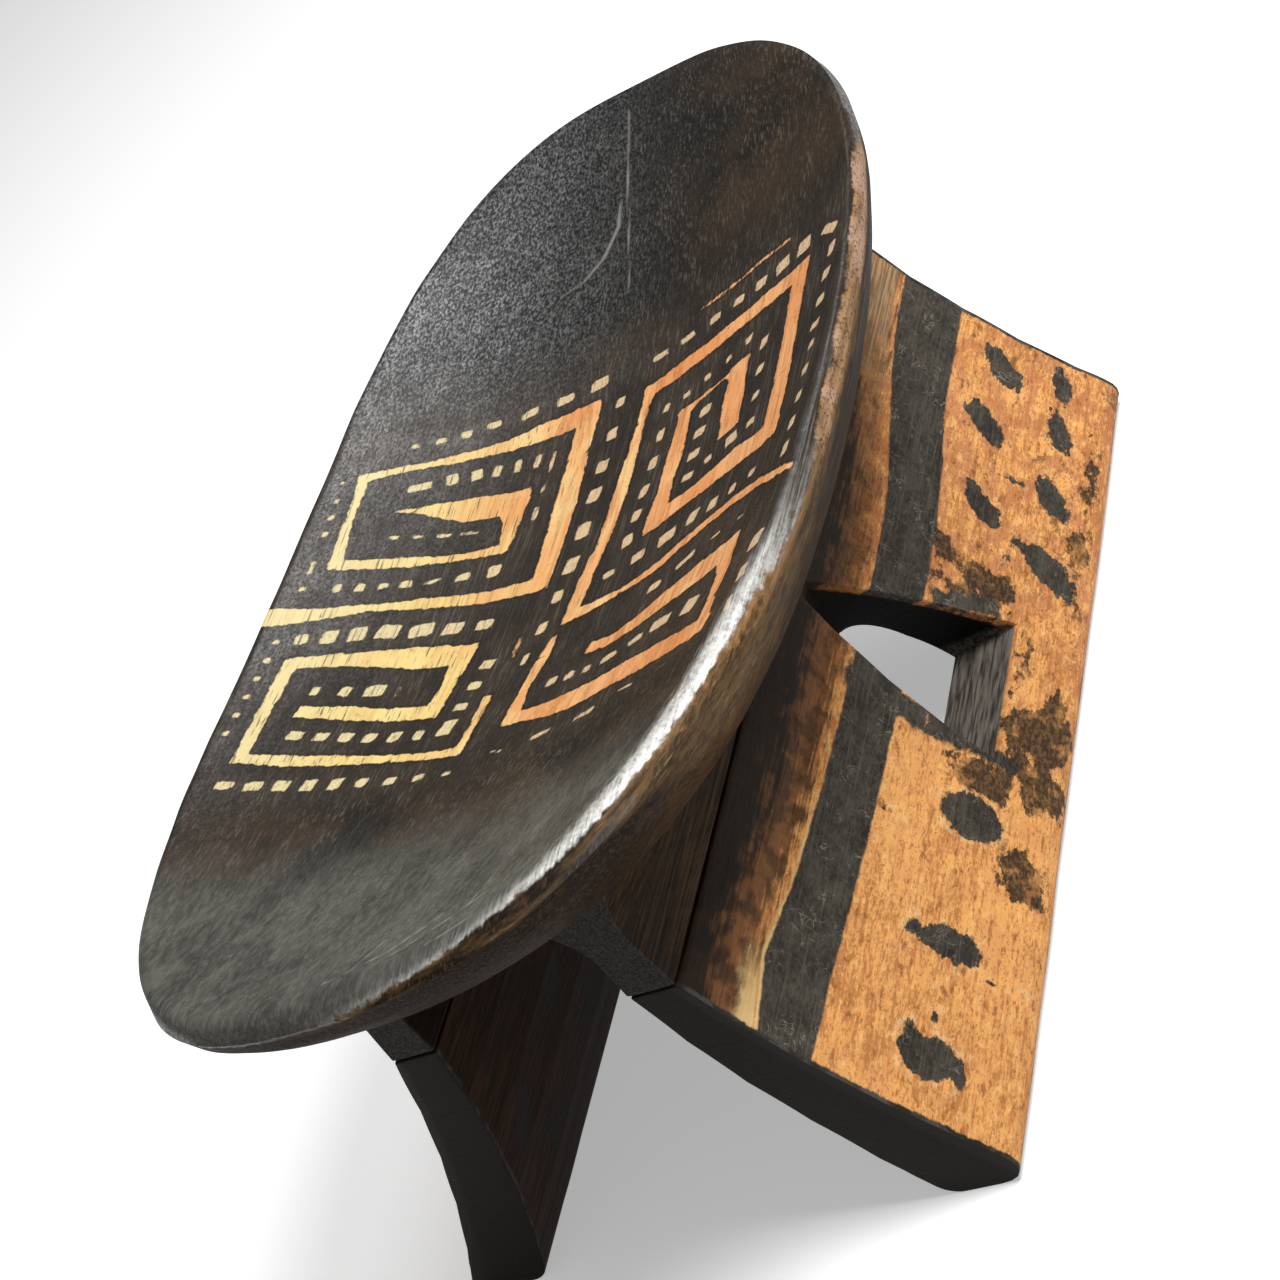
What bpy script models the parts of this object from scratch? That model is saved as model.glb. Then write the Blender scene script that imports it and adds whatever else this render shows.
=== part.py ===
"""Painted headrest: a dished rest carried on two leaning side panels with a window in each.

The rest has a rib along each side of its underside. A panel stands under each rib and is housed
in it by a stopped tongue, so the joint shows only as a line under the rest.
Metres. +Z is up, +Y runs along the rest, +X runs across it, and z = 0 is the floor.
"""

import math

import bmesh
import bpy
from mathutils import Vector

# Rest: outline in plan, dish and edge
REST_LENGTH = 0.340
REST_WIDTH = 0.178
OUTLINE_POWER = 2.7
DISH_HEIGHT = 0.115
SIDE_RISE = 0.0225
END_RISE = 0.034
CORNER_EASE = 0.011
REST_THICKNESS = 0.029
EDGE_DEPTH = 0.0055
# Roundings are (power, root): a higher power keeps the full depth nearer to the rim
TOP_EDGE_ROUNDING = (7.0, 7.0)
UNDERSIDE_ROUNDING = (3.4, 2.0)

# Ribs on the underside of the rest
RIB_DEPTH = 0.001
RIB_LEAN = 0.10
RIB_COVE = 0.010
RIB_COVE_START = 0.4
RIB_EMBED = 0.003

# Panels: where they stand, how they lean and how thick they are across
SIDE_OVERHANG = 0.0483
END_OVERHANG = 0.0355
FOOT_SPLAY = 0.043
END_SPLAY = 0.002
PANEL_SHIFT = 0.008
PANEL_HOLLOW = 0.0041
JOINT_THICKNESS = 0.0125
FOOT_THICKNESS = 0.0245
FOOT_EASE_OUTSIDE = 0.011
FOOT_EASE_INSIDE = 0.004

# Window in each panel
WINDOW_WIDTH = 0.0486
WINDOW_SILL = 0.022
WINDOW_HEADROOM = 0.0065
WINDOW_APEX_WIDTH = 0.004
WINDOW_BULGE = 0.0025
WINDOW_PITCH = math.radians(11)

# Tongue of each panel and its housing in the rib
TONGUE_SHOULDER = 0.0038
TONGUE_HEIGHT = 0.009
TONGUE_SETBACK = 0.018
FIT_CLEARANCE = 0.0003

# How far a cutter or a joined form runs past the face it goes through
CUT_MARGIN = 0.010

# Facets
OUTLINE_SEGMENTS = 72
DISH_RINGS = 20
RIB_STEPS = 8
RIB_LENGTH_STEPS = 16
PANEL_STEPS = 5
ROUND_STEPS = 4
WINDOW_SIDE_STEPS = 6
SMOOTH_ANGLE = math.radians(35)

# Finishes: colour, roughness
REST_FINISH = ((0.045, 0.042, 0.038, 1.0), 0.42)
PANEL_FINISH = ((0.62, 0.27, 0.075, 1.0), 0.55)

# Sizes that follow from those above
HALF_LENGTH = REST_LENGTH / 2
HALF_WIDTH = REST_WIDTH / 2
JOINT_HEIGHT = DISH_HEIGHT - REST_THICKNESS - RIB_DEPTH
JOINT_OUTSIDE = HALF_WIDTH - SIDE_OVERHANG
JOINT_MIDDLE = JOINT_OUTSIDE - JOINT_THICKNESS / 2
JOINT_HALF_LENGTH = HALF_LENGTH - END_OVERHANG
FOOT_OUTSIDE = JOINT_OUTSIDE + FOOT_SPLAY
TONGUE_THICKNESS = JOINT_THICKNESS - 2 * TONGUE_SHOULDER
TONGUE_LENGTH = 2 * (JOINT_HALF_LENGTH - TONGUE_SETBACK)


def outline_fraction(x, y):
    """How far a plan point lies towards the rim: 0 in the middle, 1 on the outline."""
    across = abs(x / HALF_WIDTH) ** OUTLINE_POWER
    along = abs(y / HALF_LENGTH) ** OUTLINE_POWER
    return (across + along) ** (1 / OUTLINE_POWER)


def round_off(fraction, rounding):
    """Share of the full depth that a rounded edge keeps at a place towards the rim."""
    power, root = rounding
    return max(0.0, 1 - fraction ** power) ** (1 / root)


def dish_height(x, y):
    """Height of the dished top, before its edge is rounded."""
    across = (x / HALF_WIDTH) ** 2
    along = (y / HALF_LENGTH) ** 2
    return DISH_HEIGHT + SIDE_RISE * across + END_RISE * along - CORNER_EASE * across * along


def top_height(x, y):
    """Height of the top surface of the rest."""
    kept = round_off(outline_fraction(x, y), TOP_EDGE_ROUNDING)
    return dish_height(x, y) - EDGE_DEPTH * (1 - kept)


def under_height(x, y):
    """Height of the underside of the rest."""
    kept = round_off(outline_fraction(x, y), UNDERSIDE_ROUNDING)
    return dish_height(x, y) - EDGE_DEPTH - (REST_THICKNESS - EDGE_DEPTH) * kept


def panel_outside(z):
    """Distance of a panel's outer face from the middle plane, at a height."""
    drop = (JOINT_HEIGHT - z) / JOINT_HEIGHT
    return JOINT_OUTSIDE + FOOT_SPLAY * drop - 4 * PANEL_HOLLOW * drop * (1 - drop)


def panel_thickness(z):
    """Thickness of a panel, measured level across it, at a height."""
    drop = (JOINT_HEIGHT - z) / JOINT_HEIGHT
    return JOINT_THICKNESS + (FOOT_THICKNESS - JOINT_THICKNESS) * drop


def end_distance(z):
    """Distance of the end faces of panels and ribs from the panels' middle, at a height."""
    drop = (JOINT_HEIGHT - z) / JOINT_HEIGHT
    return JOINT_HALF_LENGTH + END_SPLAY * drop


def divided_box(across, along, up):
    """A box from -1 to 1 across and along and from 0 to 1 upwards, divided evenly."""
    form = bmesh.new()
    bmesh.ops.create_cube(form, size=2)
    for axis, count in enumerate((across, along, up)):
        if count > 1:
            runs = [e for e in form.edges if e.verts[0].co[axis] * e.verts[1].co[axis] < 0]
            bmesh.ops.subdivide_edges(form, edges=runs, cuts=count - 1, use_grid_fill=True)
    for vertex in form.verts:
        vertex.co.z = (vertex.co.z + 1) / 2
    return form


def finish_form(form, name, side=1):
    """Turn a form into an object, mirrored to the -X side where side is -1."""
    for vertex in form.verts:
        vertex.co.x *= side
    form.normal_update()
    bmesh.ops.recalc_face_normals(form, faces=form.faces)
    mesh = bpy.data.meshes.new(name)
    form.to_mesh(mesh)
    form.free()
    made = bpy.data.objects.new(name, mesh)
    bpy.context.scene.collection.objects.link(made)
    return made


def combine(body, form, operation):
    """Join a form to a body or cut it away, and keep the form as a hidden guide."""
    form.hide_render = True
    form.display_type = "WIRE"
    step = body.modifiers.new(form.name, "BOOLEAN")
    step.operation = operation
    step.solver = "EXACT"
    step.object = form


def give_finish(body, finish):
    """Give a body its own material and smooth shading between its sharp edges."""
    colour, roughness = finish
    material = bpy.data.materials.new(body.name + "_finish")
    material.use_nodes = True
    shader = material.node_tree.nodes["Principled BSDF"]
    shader.inputs["Base Color"].default_value = colour
    shader.inputs["Roughness"].default_value = roughness
    shader.inputs["Metallic"].default_value = 0.0
    body.data.materials.append(material)
    body.data.shade_smooth()
    body.data.set_sharp_from_angle(angle=SMOOTH_ANGLE)


def make_slab():
    """The dished slab: a ball pressed to the outline, the dish and the underside."""
    form = bmesh.new()
    bmesh.ops.create_uvsphere(form, u_segments=OUTLINE_SEGMENTS, v_segments=DISH_RINGS, radius=1)
    for vertex in form.verts:
        ball = vertex.co.copy()
        reach = min(1.0, math.hypot(ball.x, ball.y))
        turn = math.atan2(ball.y, ball.x)
        spread = abs(math.cos(turn)) ** OUTLINE_POWER + abs(math.sin(turn)) ** OUTLINE_POWER
        plan = reach * spread ** (-1 / OUTLINE_POWER)
        vertex.co.x = HALF_WIDTH * plan * math.cos(turn)
        vertex.co.y = HALF_LENGTH * plan * math.sin(turn)
        surface = top_height if ball.z > 0 else under_height
        vertex.co.z = surface(vertex.co.x, vertex.co.y)
    return finish_form(form, "rest")


def make_rib(side, name):
    """A rib that carries the line of a panel up into the underside of the rest."""
    form = divided_box(2, RIB_LENGTH_STEPS, RIB_STEPS)
    for vertex in form.verts:
        across, along, up = vertex.co
        base = JOINT_MIDDLE + across * JOINT_THICKNESS / 2
        station = PANEL_SHIFT + along * JOINT_HALF_LENGTH
        top = under_height(base + RIB_COVE * across, station) + RIB_EMBED
        z = JOINT_HEIGHT + (top - JOINT_HEIGHT) * up
        flare = max(0.0, (up - RIB_COVE_START) / (1 - RIB_COVE_START)) * math.pi / 2
        lean = RIB_LEAN * (z - JOINT_HEIGHT) * (1 + across) / 2
        x = base - lean + RIB_COVE * across * (1 - math.cos(flare))
        vertex.co = Vector((x, PANEL_SHIFT + along * end_distance(z), z))
    return finish_form(form, name, side)


def make_tongue_box(side, name, clearance, low):
    """The block of a tongue, or of its housing, from a height up to the tongue's end."""
    form = divided_box(1, 1, 1)
    high = JOINT_HEIGHT - FIT_CLEARANCE + TONGUE_HEIGHT + clearance
    for vertex in form.verts:
        across, along, up = vertex.co
        vertex.co.x = JOINT_MIDDLE + across * (TONGUE_THICKNESS / 2 + clearance)
        vertex.co.y = PANEL_SHIFT + along * (TONGUE_LENGTH / 2 + clearance)
        vertex.co.z = low + (high - low) * up
    return finish_form(form, name, side)


def window_outline():
    """Plan of the window on the panel's outer face: (along, height), from the sill round."""
    apex = JOINT_HEIGHT - WINDOW_HEADROOM
    side = []
    for step in range(WINDOW_SIDE_STEPS + 1):
        share = step / WINDOW_SIDE_STEPS
        straight = WINDOW_WIDTH + (WINDOW_APEX_WIDTH - WINDOW_WIDTH) * share
        bulge = 4 * WINDOW_BULGE * share * (1 - share)
        side.append((straight / 2 + bulge, WINDOW_SILL + (apex - WINDOW_SILL) * share))
    return side + [(-along, height) for along, height in reversed(side)]


def make_window(side, name):
    """The block that cuts a window, pitched so that its sill falls towards the middle."""
    fall = math.tan(WINDOW_PITCH)
    start = FOOT_OUTSIDE + CUT_MARGIN
    stop = JOINT_OUTSIDE - JOINT_THICKNESS - CUT_MARGIN
    form = bmesh.new()
    mouth = []
    for along, height in window_outline():
        lift = (start - panel_outside(height)) * fall
        mouth.append(form.verts.new((start, PANEL_SHIFT + along, height + lift)))
    face = form.faces.new(mouth)
    depth = bmesh.ops.extrude_face_region(form, geom=[face])
    moved = [part for part in depth["geom"] if isinstance(part, bmesh.types.BMVert)]
    way = Vector((stop - start, 0, (stop - start) * fall))
    bmesh.ops.translate(form, verts=moved, vec=way)
    return finish_form(form, name, side)


def make_panel(side, name):
    """A leaning panel with a rounded foot, its window cut and its tongue on top."""
    form = divided_box(1, 1, PANEL_STEPS)
    floor_edges = [e for e in form.edges if all(v.co.z == 0 for v in e.verts)]
    outer_edge = [e for e in floor_edges if all(v.co.x > 0 for v in e.verts)]
    inner_edge = [e for e in floor_edges if all(v.co.x < 0 for v in e.verts)]
    for vertex in form.verts:
        across, along, up = vertex.co
        z = (JOINT_HEIGHT - FIT_CLEARANCE) * up
        x = panel_outside(z) - panel_thickness(z) * (1 - across) / 2
        vertex.co = Vector((x, PANEL_SHIFT + along * end_distance(z), z))
    for edge, ease in ((outer_edge, FOOT_EASE_OUTSIDE), (inner_edge, FOOT_EASE_INSIDE)):
        bmesh.ops.bevel(form, geom=edge, offset=ease, offset_type="OFFSET",
                        segments=ROUND_STEPS, profile=0.5, affect="EDGES", material=-1)
    panel = finish_form(form, name, side)
    root = JOINT_HEIGHT - TONGUE_HEIGHT
    combine(panel, make_tongue_box(side, name + "_tongue_form", 0.0, root), "UNION")
    combine(panel, make_window(side, name + "_window_form"), "DIFFERENCE")
    give_finish(panel, PANEL_FINISH)
    return panel


def make_rest():
    """The rest: the slab with its two ribs, each with the housing for a tongue."""
    rest = make_slab()
    for side, hand in ((1, "right"), (-1, "left")):
        combine(rest, make_rib(side, hand + "_rib_form"), "UNION")
    for side, hand in ((1, "right"), (-1, "left")):
        low = JOINT_HEIGHT - CUT_MARGIN
        housing = make_tongue_box(side, hand + "_housing_form", FIT_CLEARANCE, low)
        combine(rest, housing, "DIFFERENCE")
    give_finish(rest, REST_FINISH)
    return rest


def main():
    """Clear the scene and build the three pieces."""
    for leftover in list(bpy.data.objects):
        bpy.data.objects.remove(leftover, do_unlink=True)
    make_rest()
    make_panel(1, "right_panel")
    make_panel(-1, "left_panel")


main()
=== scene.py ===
import math

import bmesh
import bpy
import numpy as np
from bpy.props import FloatProperty, FloatVectorProperty, PointerProperty
from mathutils import Matrix, Vector, noise


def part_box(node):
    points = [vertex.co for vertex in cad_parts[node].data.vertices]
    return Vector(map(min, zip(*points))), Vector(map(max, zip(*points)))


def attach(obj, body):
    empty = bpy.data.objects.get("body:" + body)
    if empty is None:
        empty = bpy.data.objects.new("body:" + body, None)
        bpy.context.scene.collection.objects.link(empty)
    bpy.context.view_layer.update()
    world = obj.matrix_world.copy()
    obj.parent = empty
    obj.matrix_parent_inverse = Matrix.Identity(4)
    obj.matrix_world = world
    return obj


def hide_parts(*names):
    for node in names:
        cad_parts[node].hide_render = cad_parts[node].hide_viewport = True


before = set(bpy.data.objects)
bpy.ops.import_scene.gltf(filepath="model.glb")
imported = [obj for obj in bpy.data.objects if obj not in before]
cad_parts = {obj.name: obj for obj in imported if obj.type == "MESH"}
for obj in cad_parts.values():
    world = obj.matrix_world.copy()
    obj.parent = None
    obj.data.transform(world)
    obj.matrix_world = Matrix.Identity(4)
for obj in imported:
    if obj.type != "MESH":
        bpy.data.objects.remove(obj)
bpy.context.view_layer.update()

bl_info = {
    "name": "Painted Headrest",
    "version": (1, 0, 0),
    "blender": (4, 5, 0),
    "location": "3D View > Sidebar > Headrest",
    "description": "Makes a carved and painted headrest: the dished rest, its two panels and a plain studio",
    "category": "Object",
}

MM = 0.001
REST_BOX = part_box("rest")

# Cells of the meshes across, along and up, and how the slab's cells crowd to its sides and its middle.
SLAB_GRID = (156, 280, 1)
SIDE_CROWDING = 0.12
MIDDLE_CROWDING = 0.22
RIB_GRID = (4, 48, 14)
PANEL_TREADS = 5
WELD = 1e-6

# The rim wears most where it faces the near right: the share of the direction across, the direction's
# full length, and the bow of the rounding when fresh and what wear takes off it.
WEAR_ACROSS = 0.6
WEAR_REACH = 1.17
FRESH_BOW = 2.0
WORN_BOW = 0.75
UNDERSIDE_ROUNDING = (3.4, 2.0)

# How a rib sits in the underside, where its flare starts, and its lean and lower edge.
RIB_EMBED = 0.003
RIB_COVE_START = 0.4
RIB_LEAN = 0.10
RIB_EDGE = 0.0008

# Rows of the block that cuts a window: 0 is the outer face and 1 the inner one.
WINDOW_ROWS = (-0.4, -0.06, 0.06, 0.3, 0.5, 0.7, 0.94, 1.06, 1.4)
WINDOW_STEPS = 20
WINDOW_HEIGHTS = (18.5, 80)

# Unevenness of hand carving: scale, seed and share or depth of each swell. The ribs, below their top,
# are truer than the slab, and the rim is rougher.
REST_SWELLS = ((22, 1.3, 0.7), (60, 5.1, 0.3))
RIB_TOP = 0.092
RIB_TRUENESS = 0.2
RIM_START = 0.97
RIM_ROUGHNESS = 0.8
PANEL_SWELL_SCALE = 30
PANEL_SWELL_SEED = Vector((2.2, 0, 0))
PANEL_SWELL = 0.00035
FLAT_FOOT = 0.002

# Angles past which an edge is square, is a cut to be rounded, and stays crisp in the shading.
SQUARE_EDGE = 1.0
CUT_ANGLE = math.radians(42)
CRISP_ANGLE = math.radians(50)

# Brushwork: the depth of a point far from all paint in millimetres, the turn that makes a square
# corner, how far dabs vary in lean and length, and how deep the top's paint reaches down the rim.
OUTSIDE = -50.0
SQUARE_TURN = 0.6
DAB_LEAN = 0.35
DAB_STRETCH = 0.2
DAB_STRIDE = 1.7
DAB_SEED = 3.1
RIM_DEPTH = 0.004
LEAST_FRACTION = 0.02

# Gloss of bare paint and of the varnish over it, and the relief of the two finishes in metres.
PAINT_GLOSS = 0.03
VARNISH_ROUGHNESS = 0.28
VARNISH_IOR = 1.75
REST_RELIEF = 0.0004
PANEL_RELIEF = 0.0005

# The camera's place and directions, and the lamps' places and sizes, in metres.
CAMERA_PLACE = Vector((0.35815, -0.46038, 0.41639))
CAMERA_RIGHT = Vector((0.79245, 0.20636, -0.57397))
CAMERA_UP = Vector((0.29005, 0.70032, 0.65224))
SENSOR_WIDTH = 36.0
KEY_PLACE = Vector((0.47, 0.02, 0.88)) * 1.35
KEY_SIZE = 0.5
TOP_PLACE = Vector((-0.03, 0.48, 0.88)) * 1.5
TOP_SIZE = 0.7
LAMP_AIM = Vector((0, 0, 0.08))
FLOOR_ROUGHNESS = 0.9

# The painted meander, in millimetres across and along the rest from its middle. Each stroke of the
# brush is a run of (across, along, breadth) and turns square corners.
SPIRALS = (
    ((-85, -7, 6.6), (-73, -5.5, 4.5), (-60, -4, 2.6), (-45, -4.8, 3.6), (-26, -7, 4), (-9.5, -7.5, 6),
     (-9.5, 20, 7.5), (-9.5, 40, 6.6), (-9, 55, 7), (-22, 54, 6.5), (-34, 51.8, 4.4), (-50, 50.3, 2.6),
     (-64, 49, 2), (-75, 46.8, 2.6), (-75.2, 30, 2.2), (-74.6, 13.2, 3.4), (-56, 12.4, 3.6),
     (-38, 11.2, 2.4), (-26, 11.4, 3.4), (-26, 20, 5), (-27, 28.6, 8.6), (-40, 29.4, 9),
     (-50, 31.4, 5), (-57, 32.2, 2.2), (-63, 32.6, 0.6)),
    ((-11, -50, 2.2), (-11, -60, 2.2), (-11.5, -69.5, 3.2), (-22, -68.2, 2.6), (-32, -66, 2.6),
     (-46, -63.8, 3.6), (-62, -61.8, 4), (-75.4, -59.8, 3.6), (-75.8, -42, 3.2), (-75, -24, 4),
     (-62, -23.6, 5), (-48, -24.8, 6.4), (-36, -27, 8.4), (-26, -28.4, 7), (-26, -38, 4.8),
     (-27, -50, 4.8), (-42, -47.4, 4.6), (-54, -44.6, 5), (-65, -43, 4.2)),
    ((84.5, -30.5, 2.2), (80, -28, 2.8), (70, -22.5, 3), (60, -20, 3), (50, -20, 3), (42, -21.6, 3),
     (35, -24.2, 3), (22, -26, 2.2), (6, -26.4, 4.6), (6.6, -12, 4.8), (8.6, 0, 4), (9.6, 15, 5),
     (10.6, 30, 4), (11, 42, 2.6), (12.6, 53, 4.2), (26, 55.6, 5), (42, 57.8, 5), (54, 58.4, 5.2),
     (67, 57.4, 6), (67, 40, 5.6), (67.6, 20, 6.2), (68, -2, 6.6), (54, 0.4, 8.2), (42, -0.6, 6.2),
     (26.8, -2.8, 6.6), (27.2, 10, 5.2), (27.8, 20, 6.4), (28.2, 35.6, 4.4), (32, 37.4, 1.2),
     (42, 39, 1.2), (47, 38, 6.4), (47.4, 27, 8.4), (48, 18, 7)),
    ((3.4, -33, 1.6), (2.4, -40, 4), (1, -50, 3), (1.6, -62.6, 4.6), (12, -64.2, 6), (22, -65, 7.4),
     (36, -64.8, 7), (50, -67, 7.6), (68, -72, 5.4), (68, -62, 3.6), (68, -52, 5), (66, -42.6, 7.4),
     (54, -42, 8.4), (43, -42.8, 7), (34, -45, 5), (26, -46, 4), (20, -45, 4)),
    ((26, 73.6, 0.5), (40, 74.6, 0.7), (50, 75.6, 0.8), (60, 75, 0.6)),
    ((-9, -28, 0.7), (-8.8, -35, 0.9)),
)

# Rows of dabs between the strokes, in millimetres: the first dab's place, the last one's, how many,
# and the length and breadth of the first and of the last.
DAB_ROWS = (
    (-62.5, 57.4, -48, 59.2, 3, 2.4, 1.5, 3, 2.4),
    (-40, 61, -7, 65, 4, 4.4, 2.2, 5.6, 3.6),
    (14, 65, 33.5, 66.4, 3, 5, 1.8, 3.4, 2.6),
    (42, 67, 67, 66.6, 4, 3.8, 2.6, 5, 5),
    (75.5, 64.6, 80, 60.8, 1, 7, 3, 7, 3),
    (80, 53, 78.6, 26.4, 4, 4.6, 2.6, 2.6, 3.6),
    (79, 19, 79.4, -19.4, 5, 2.6, 2, 4.6, 2.4),
    (80.4, -53, 79, -74, 3, 5.4, 4, 5, 2),
    (1.8, 54.4, 0.4, 31.5, 3, 3.4, 3, 4.6, 4),
    (0, 21, -0.6, -4.6, 3, 4.8, 4.4, 6, 4.2),
    (-1.6, -15.6, -4, -38, 3, 4, 3, 4, 2),
    (-58, 41.2, -48.8, 42.6, 2, 7, 2.8, 3.4, 4),
    (-41.5, 42.8, -23, 43, 4, 3, 4, 1.8, 4.8),
    (-18, 44, -18, 38, 1, 8, 0.9, 8, 0.9),
    (-61, 22.4, -38.5, 20.2, 4, 2.6, 1.4, 5.6, 1.2),
    (-19, 31, -19, 22, 2, 5, 0.9, 5, 1.4),
    (-71.5, 4.2, -52.6, 4, 4, 2, 3, 3.2, 2.4),
    (-45, 3.4, -26.5, 3, 3, 4.4, 1.2, 3.6, 4),
    (-75.4, -15, -60.6, -14, 3, 3.4, 4, 4.6, 5),
    (-52, -14.2, -23, -18, 4, 6.4, 5, 5.2, 3.6),
    (-65, -35, -48, -37.2, 3, 2.2, 3.4, 5.4, 4),
    (-41, -38.5, -41, -39.5, 1, 3.6, 0.8, 3.6, 0.8),
    (-64, -52, -27.5, -58.6, 6, 4.2, 3, 3, 3.6),
    (-19.4, -57.6, -19.4, -58.6, 1, 6, 4, 6, 4),
    (-16.6, -35, -18.4, -50.4, 3, 3.6, 4, 2.4, 4),
    (-75, -70, -44.5, -73, 5, 4.6, 2.8, 3.4, 4.4),
    (-37, -74, -11, -78, 4, 3, 3, 3, 1.6),
    (-80.5, 45, -80.5, 25, 4, 1.6, 1.2, 2, 1.6),
    (-80.4, 12.4, -80.6, 4, 2, 5, 1.4, 1.6, 1.4),
    (-81.4, -16, -82.4, -50.5, 6, 2, 2, 1.6, 1.6),
    (27, 43, 49, 47.6, 4, 2, 1.6, 2.4, 2.6),
    (20, 42.4, 19.6, 22.6, 3, 3, 1.8, 4.4, 2.8),
    (18.8, 12.6, 18.2, -5, 3, 4.8, 2.6, 4, 3.4),
    (56, 41, 57.6, 10.6, 4, 3.6, 2.6, 2.6, 2.8),
    (36.4, 31, 35.4, 7.6, 4, 3.2, 4, 2.8, 4),
    (42.4, 9, 50.6, 10.4, 2, 2.4, 2.6, 4, 4),
    (15, -15.6, 34.4, -13.6, 3, 4, 2.6, 5.4, 4.4),
    (43, -12.4, 65, -14.4, 4, 3.4, 4.4, 2.6, 2.4),
    (36.4, -33, 46.4, -30.8, 2, 4.4, 2.6, 6.4, 2.2),
    (57, -30.4, 67, -32, 2, 3, 0.8, 3, 0.7),
    (10, -52.6, 21.6, -54, 3, 3, 3, 2.4, 2.2),
    (29, -54, 37.4, -53.6, 2, 5, 2.6, 4.4, 2.4),
    (46.4, -53.4, 57.6, -56, 2, 6.4, 3.6, 6, 5),
    (2.4, -75, 30, -75.4, 3, 4.6, 1.2, 6.4, 1.8),
    (43, -74.4, 57, -77, 2, 6, 0.8, 3.6, 0.6),
)

# Scratches in the top, as runs of (across, along, breadth) in millimetres.
SCRATCHES = (
    ((-4, 160, 0.3), (-4.2, 142, 0.4), (-2.8, 120, 0.4), (-1.8, 105, 0.3), (-1, 95, 0.2)),
    ((-5.9, 130, 0.3), (-6.5, 120.7, 0.8), (-10.7, 111.7, 0.7), (-17, 105.7, 0.5), (-24.7, 102.5, 0.3)),
    ((52, -146, 0.4), (42, -153, 0.7), (30, -158, 0.5)),
    ((40, -143, 0.3), (31, -150, 0.6), (18, -158, 0.4)),
    ((27, -146, 0.3), (16, -155, 0.5), (2, -160, 0.3)),
    ((36, -138, 0.3), (34, -148, 0.4)),
    ((12, -148, 0.3), (8, -158, 0.4)),
)

# The black band along each panel, in millimetres: along, height of its middle, half breadth.
BAND = (
    (-130, 57.6, 6.4), (-105, 58.4, 8), (-80, 56.4, 7), (-50, 55, 6.8), (-20, 54.2, 6.8), (35, 53.4, 7),
    (55, 54, 7.2), (75, 56, 8), (95, 58.4, 8.2), (115, 59.6, 9), (145, 60.2, 9.2),
)

# Dabs on a panel's outer face, in millimetres and degrees: along the panel from the rest's middle,
# height above the floor, half length, half height, lean.
PANEL_DABS = (
    (-111, 27, 6, 6.6, 0), (-106, 31, 2.2, 1.5, 20), (-112, 19.6, 2.6, 1.3, 0), (-78, 26, 4.8, 7, 0),
    (-77, 34.6, 2.6, 0.8, -20), (-77.4, 20, 1.8, 1.7, 0), (-38, 26, 7, 7.6, 0),
    (56.5, 17, 9.6, 5, 44), (69, 36, 7.8, 4.2, 43), (84, 18.4, 8.4, 3.8, 24), (101, 38.6, 8.4, 4.6, 38),
    (112.5, 19, 8.6, 3.2, 14), (127, 36.6, 8.6, 4.6, 36), (132.5, 20, 7, 3, 8), (62, 25.6, 5, 0.9, -14),
    (84.4, 29, 1, 3.6, 10), (-100, 27, 1.6, 1, 0), (-83.4, 15.4, 0.7, 2.2, 12), (-48.4, 45.6, 0.9, 1.6, 0),
)

# Brown smudges on a panel's outer face, in the same measures.
SMUDGES = (
    (42, 31, 6.8, 7.4, 0), (46, 42.4, 7, 3.6, 30), (34, 37, 3.4, 8, 0), (-50, 13, 8, 5.4, 10),
    (-22, 11, 10, 6, -10), (0, 12, 13, 8, 0), (-25, 25, 7, 8, 0), (-4, 17, 15, 4, 0), (66, 10, 12, 3, 0),
    (98, 9, 14, 2.6, 0), (20, 19, 12, 2.6, 0),
)

# Dabs on a panel's inner face, in the same measures.
INNER_DABS = (
    (-112, 40, 8, 4.6, 30), (-98, 20, 7, 5, 40), (-74, 46, 8, 4.4, 20), (-60, 22, 7, 5, 44),
    (-36, 54, 8, 4, 10), (46, 24, 8, 5, 30), (66, 48, 7.6, 4.6, 40), (88, 22, 7, 5, 14),
    (106, 44, 8, 4.6, 36), (126, 24, 7, 4.4, 24),
)

# Dark brush strokes beside and below a window: runs of (along, height, breadth) in millimetres.
WINDOW_STROKES = (
    ((-14.4, 58, 8), (-14.6, 40, 8), (-15, 28, 7), (-15.8, 20, 5)),
    ((28, 42, 5), (33, 30, 5)),
)


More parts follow.
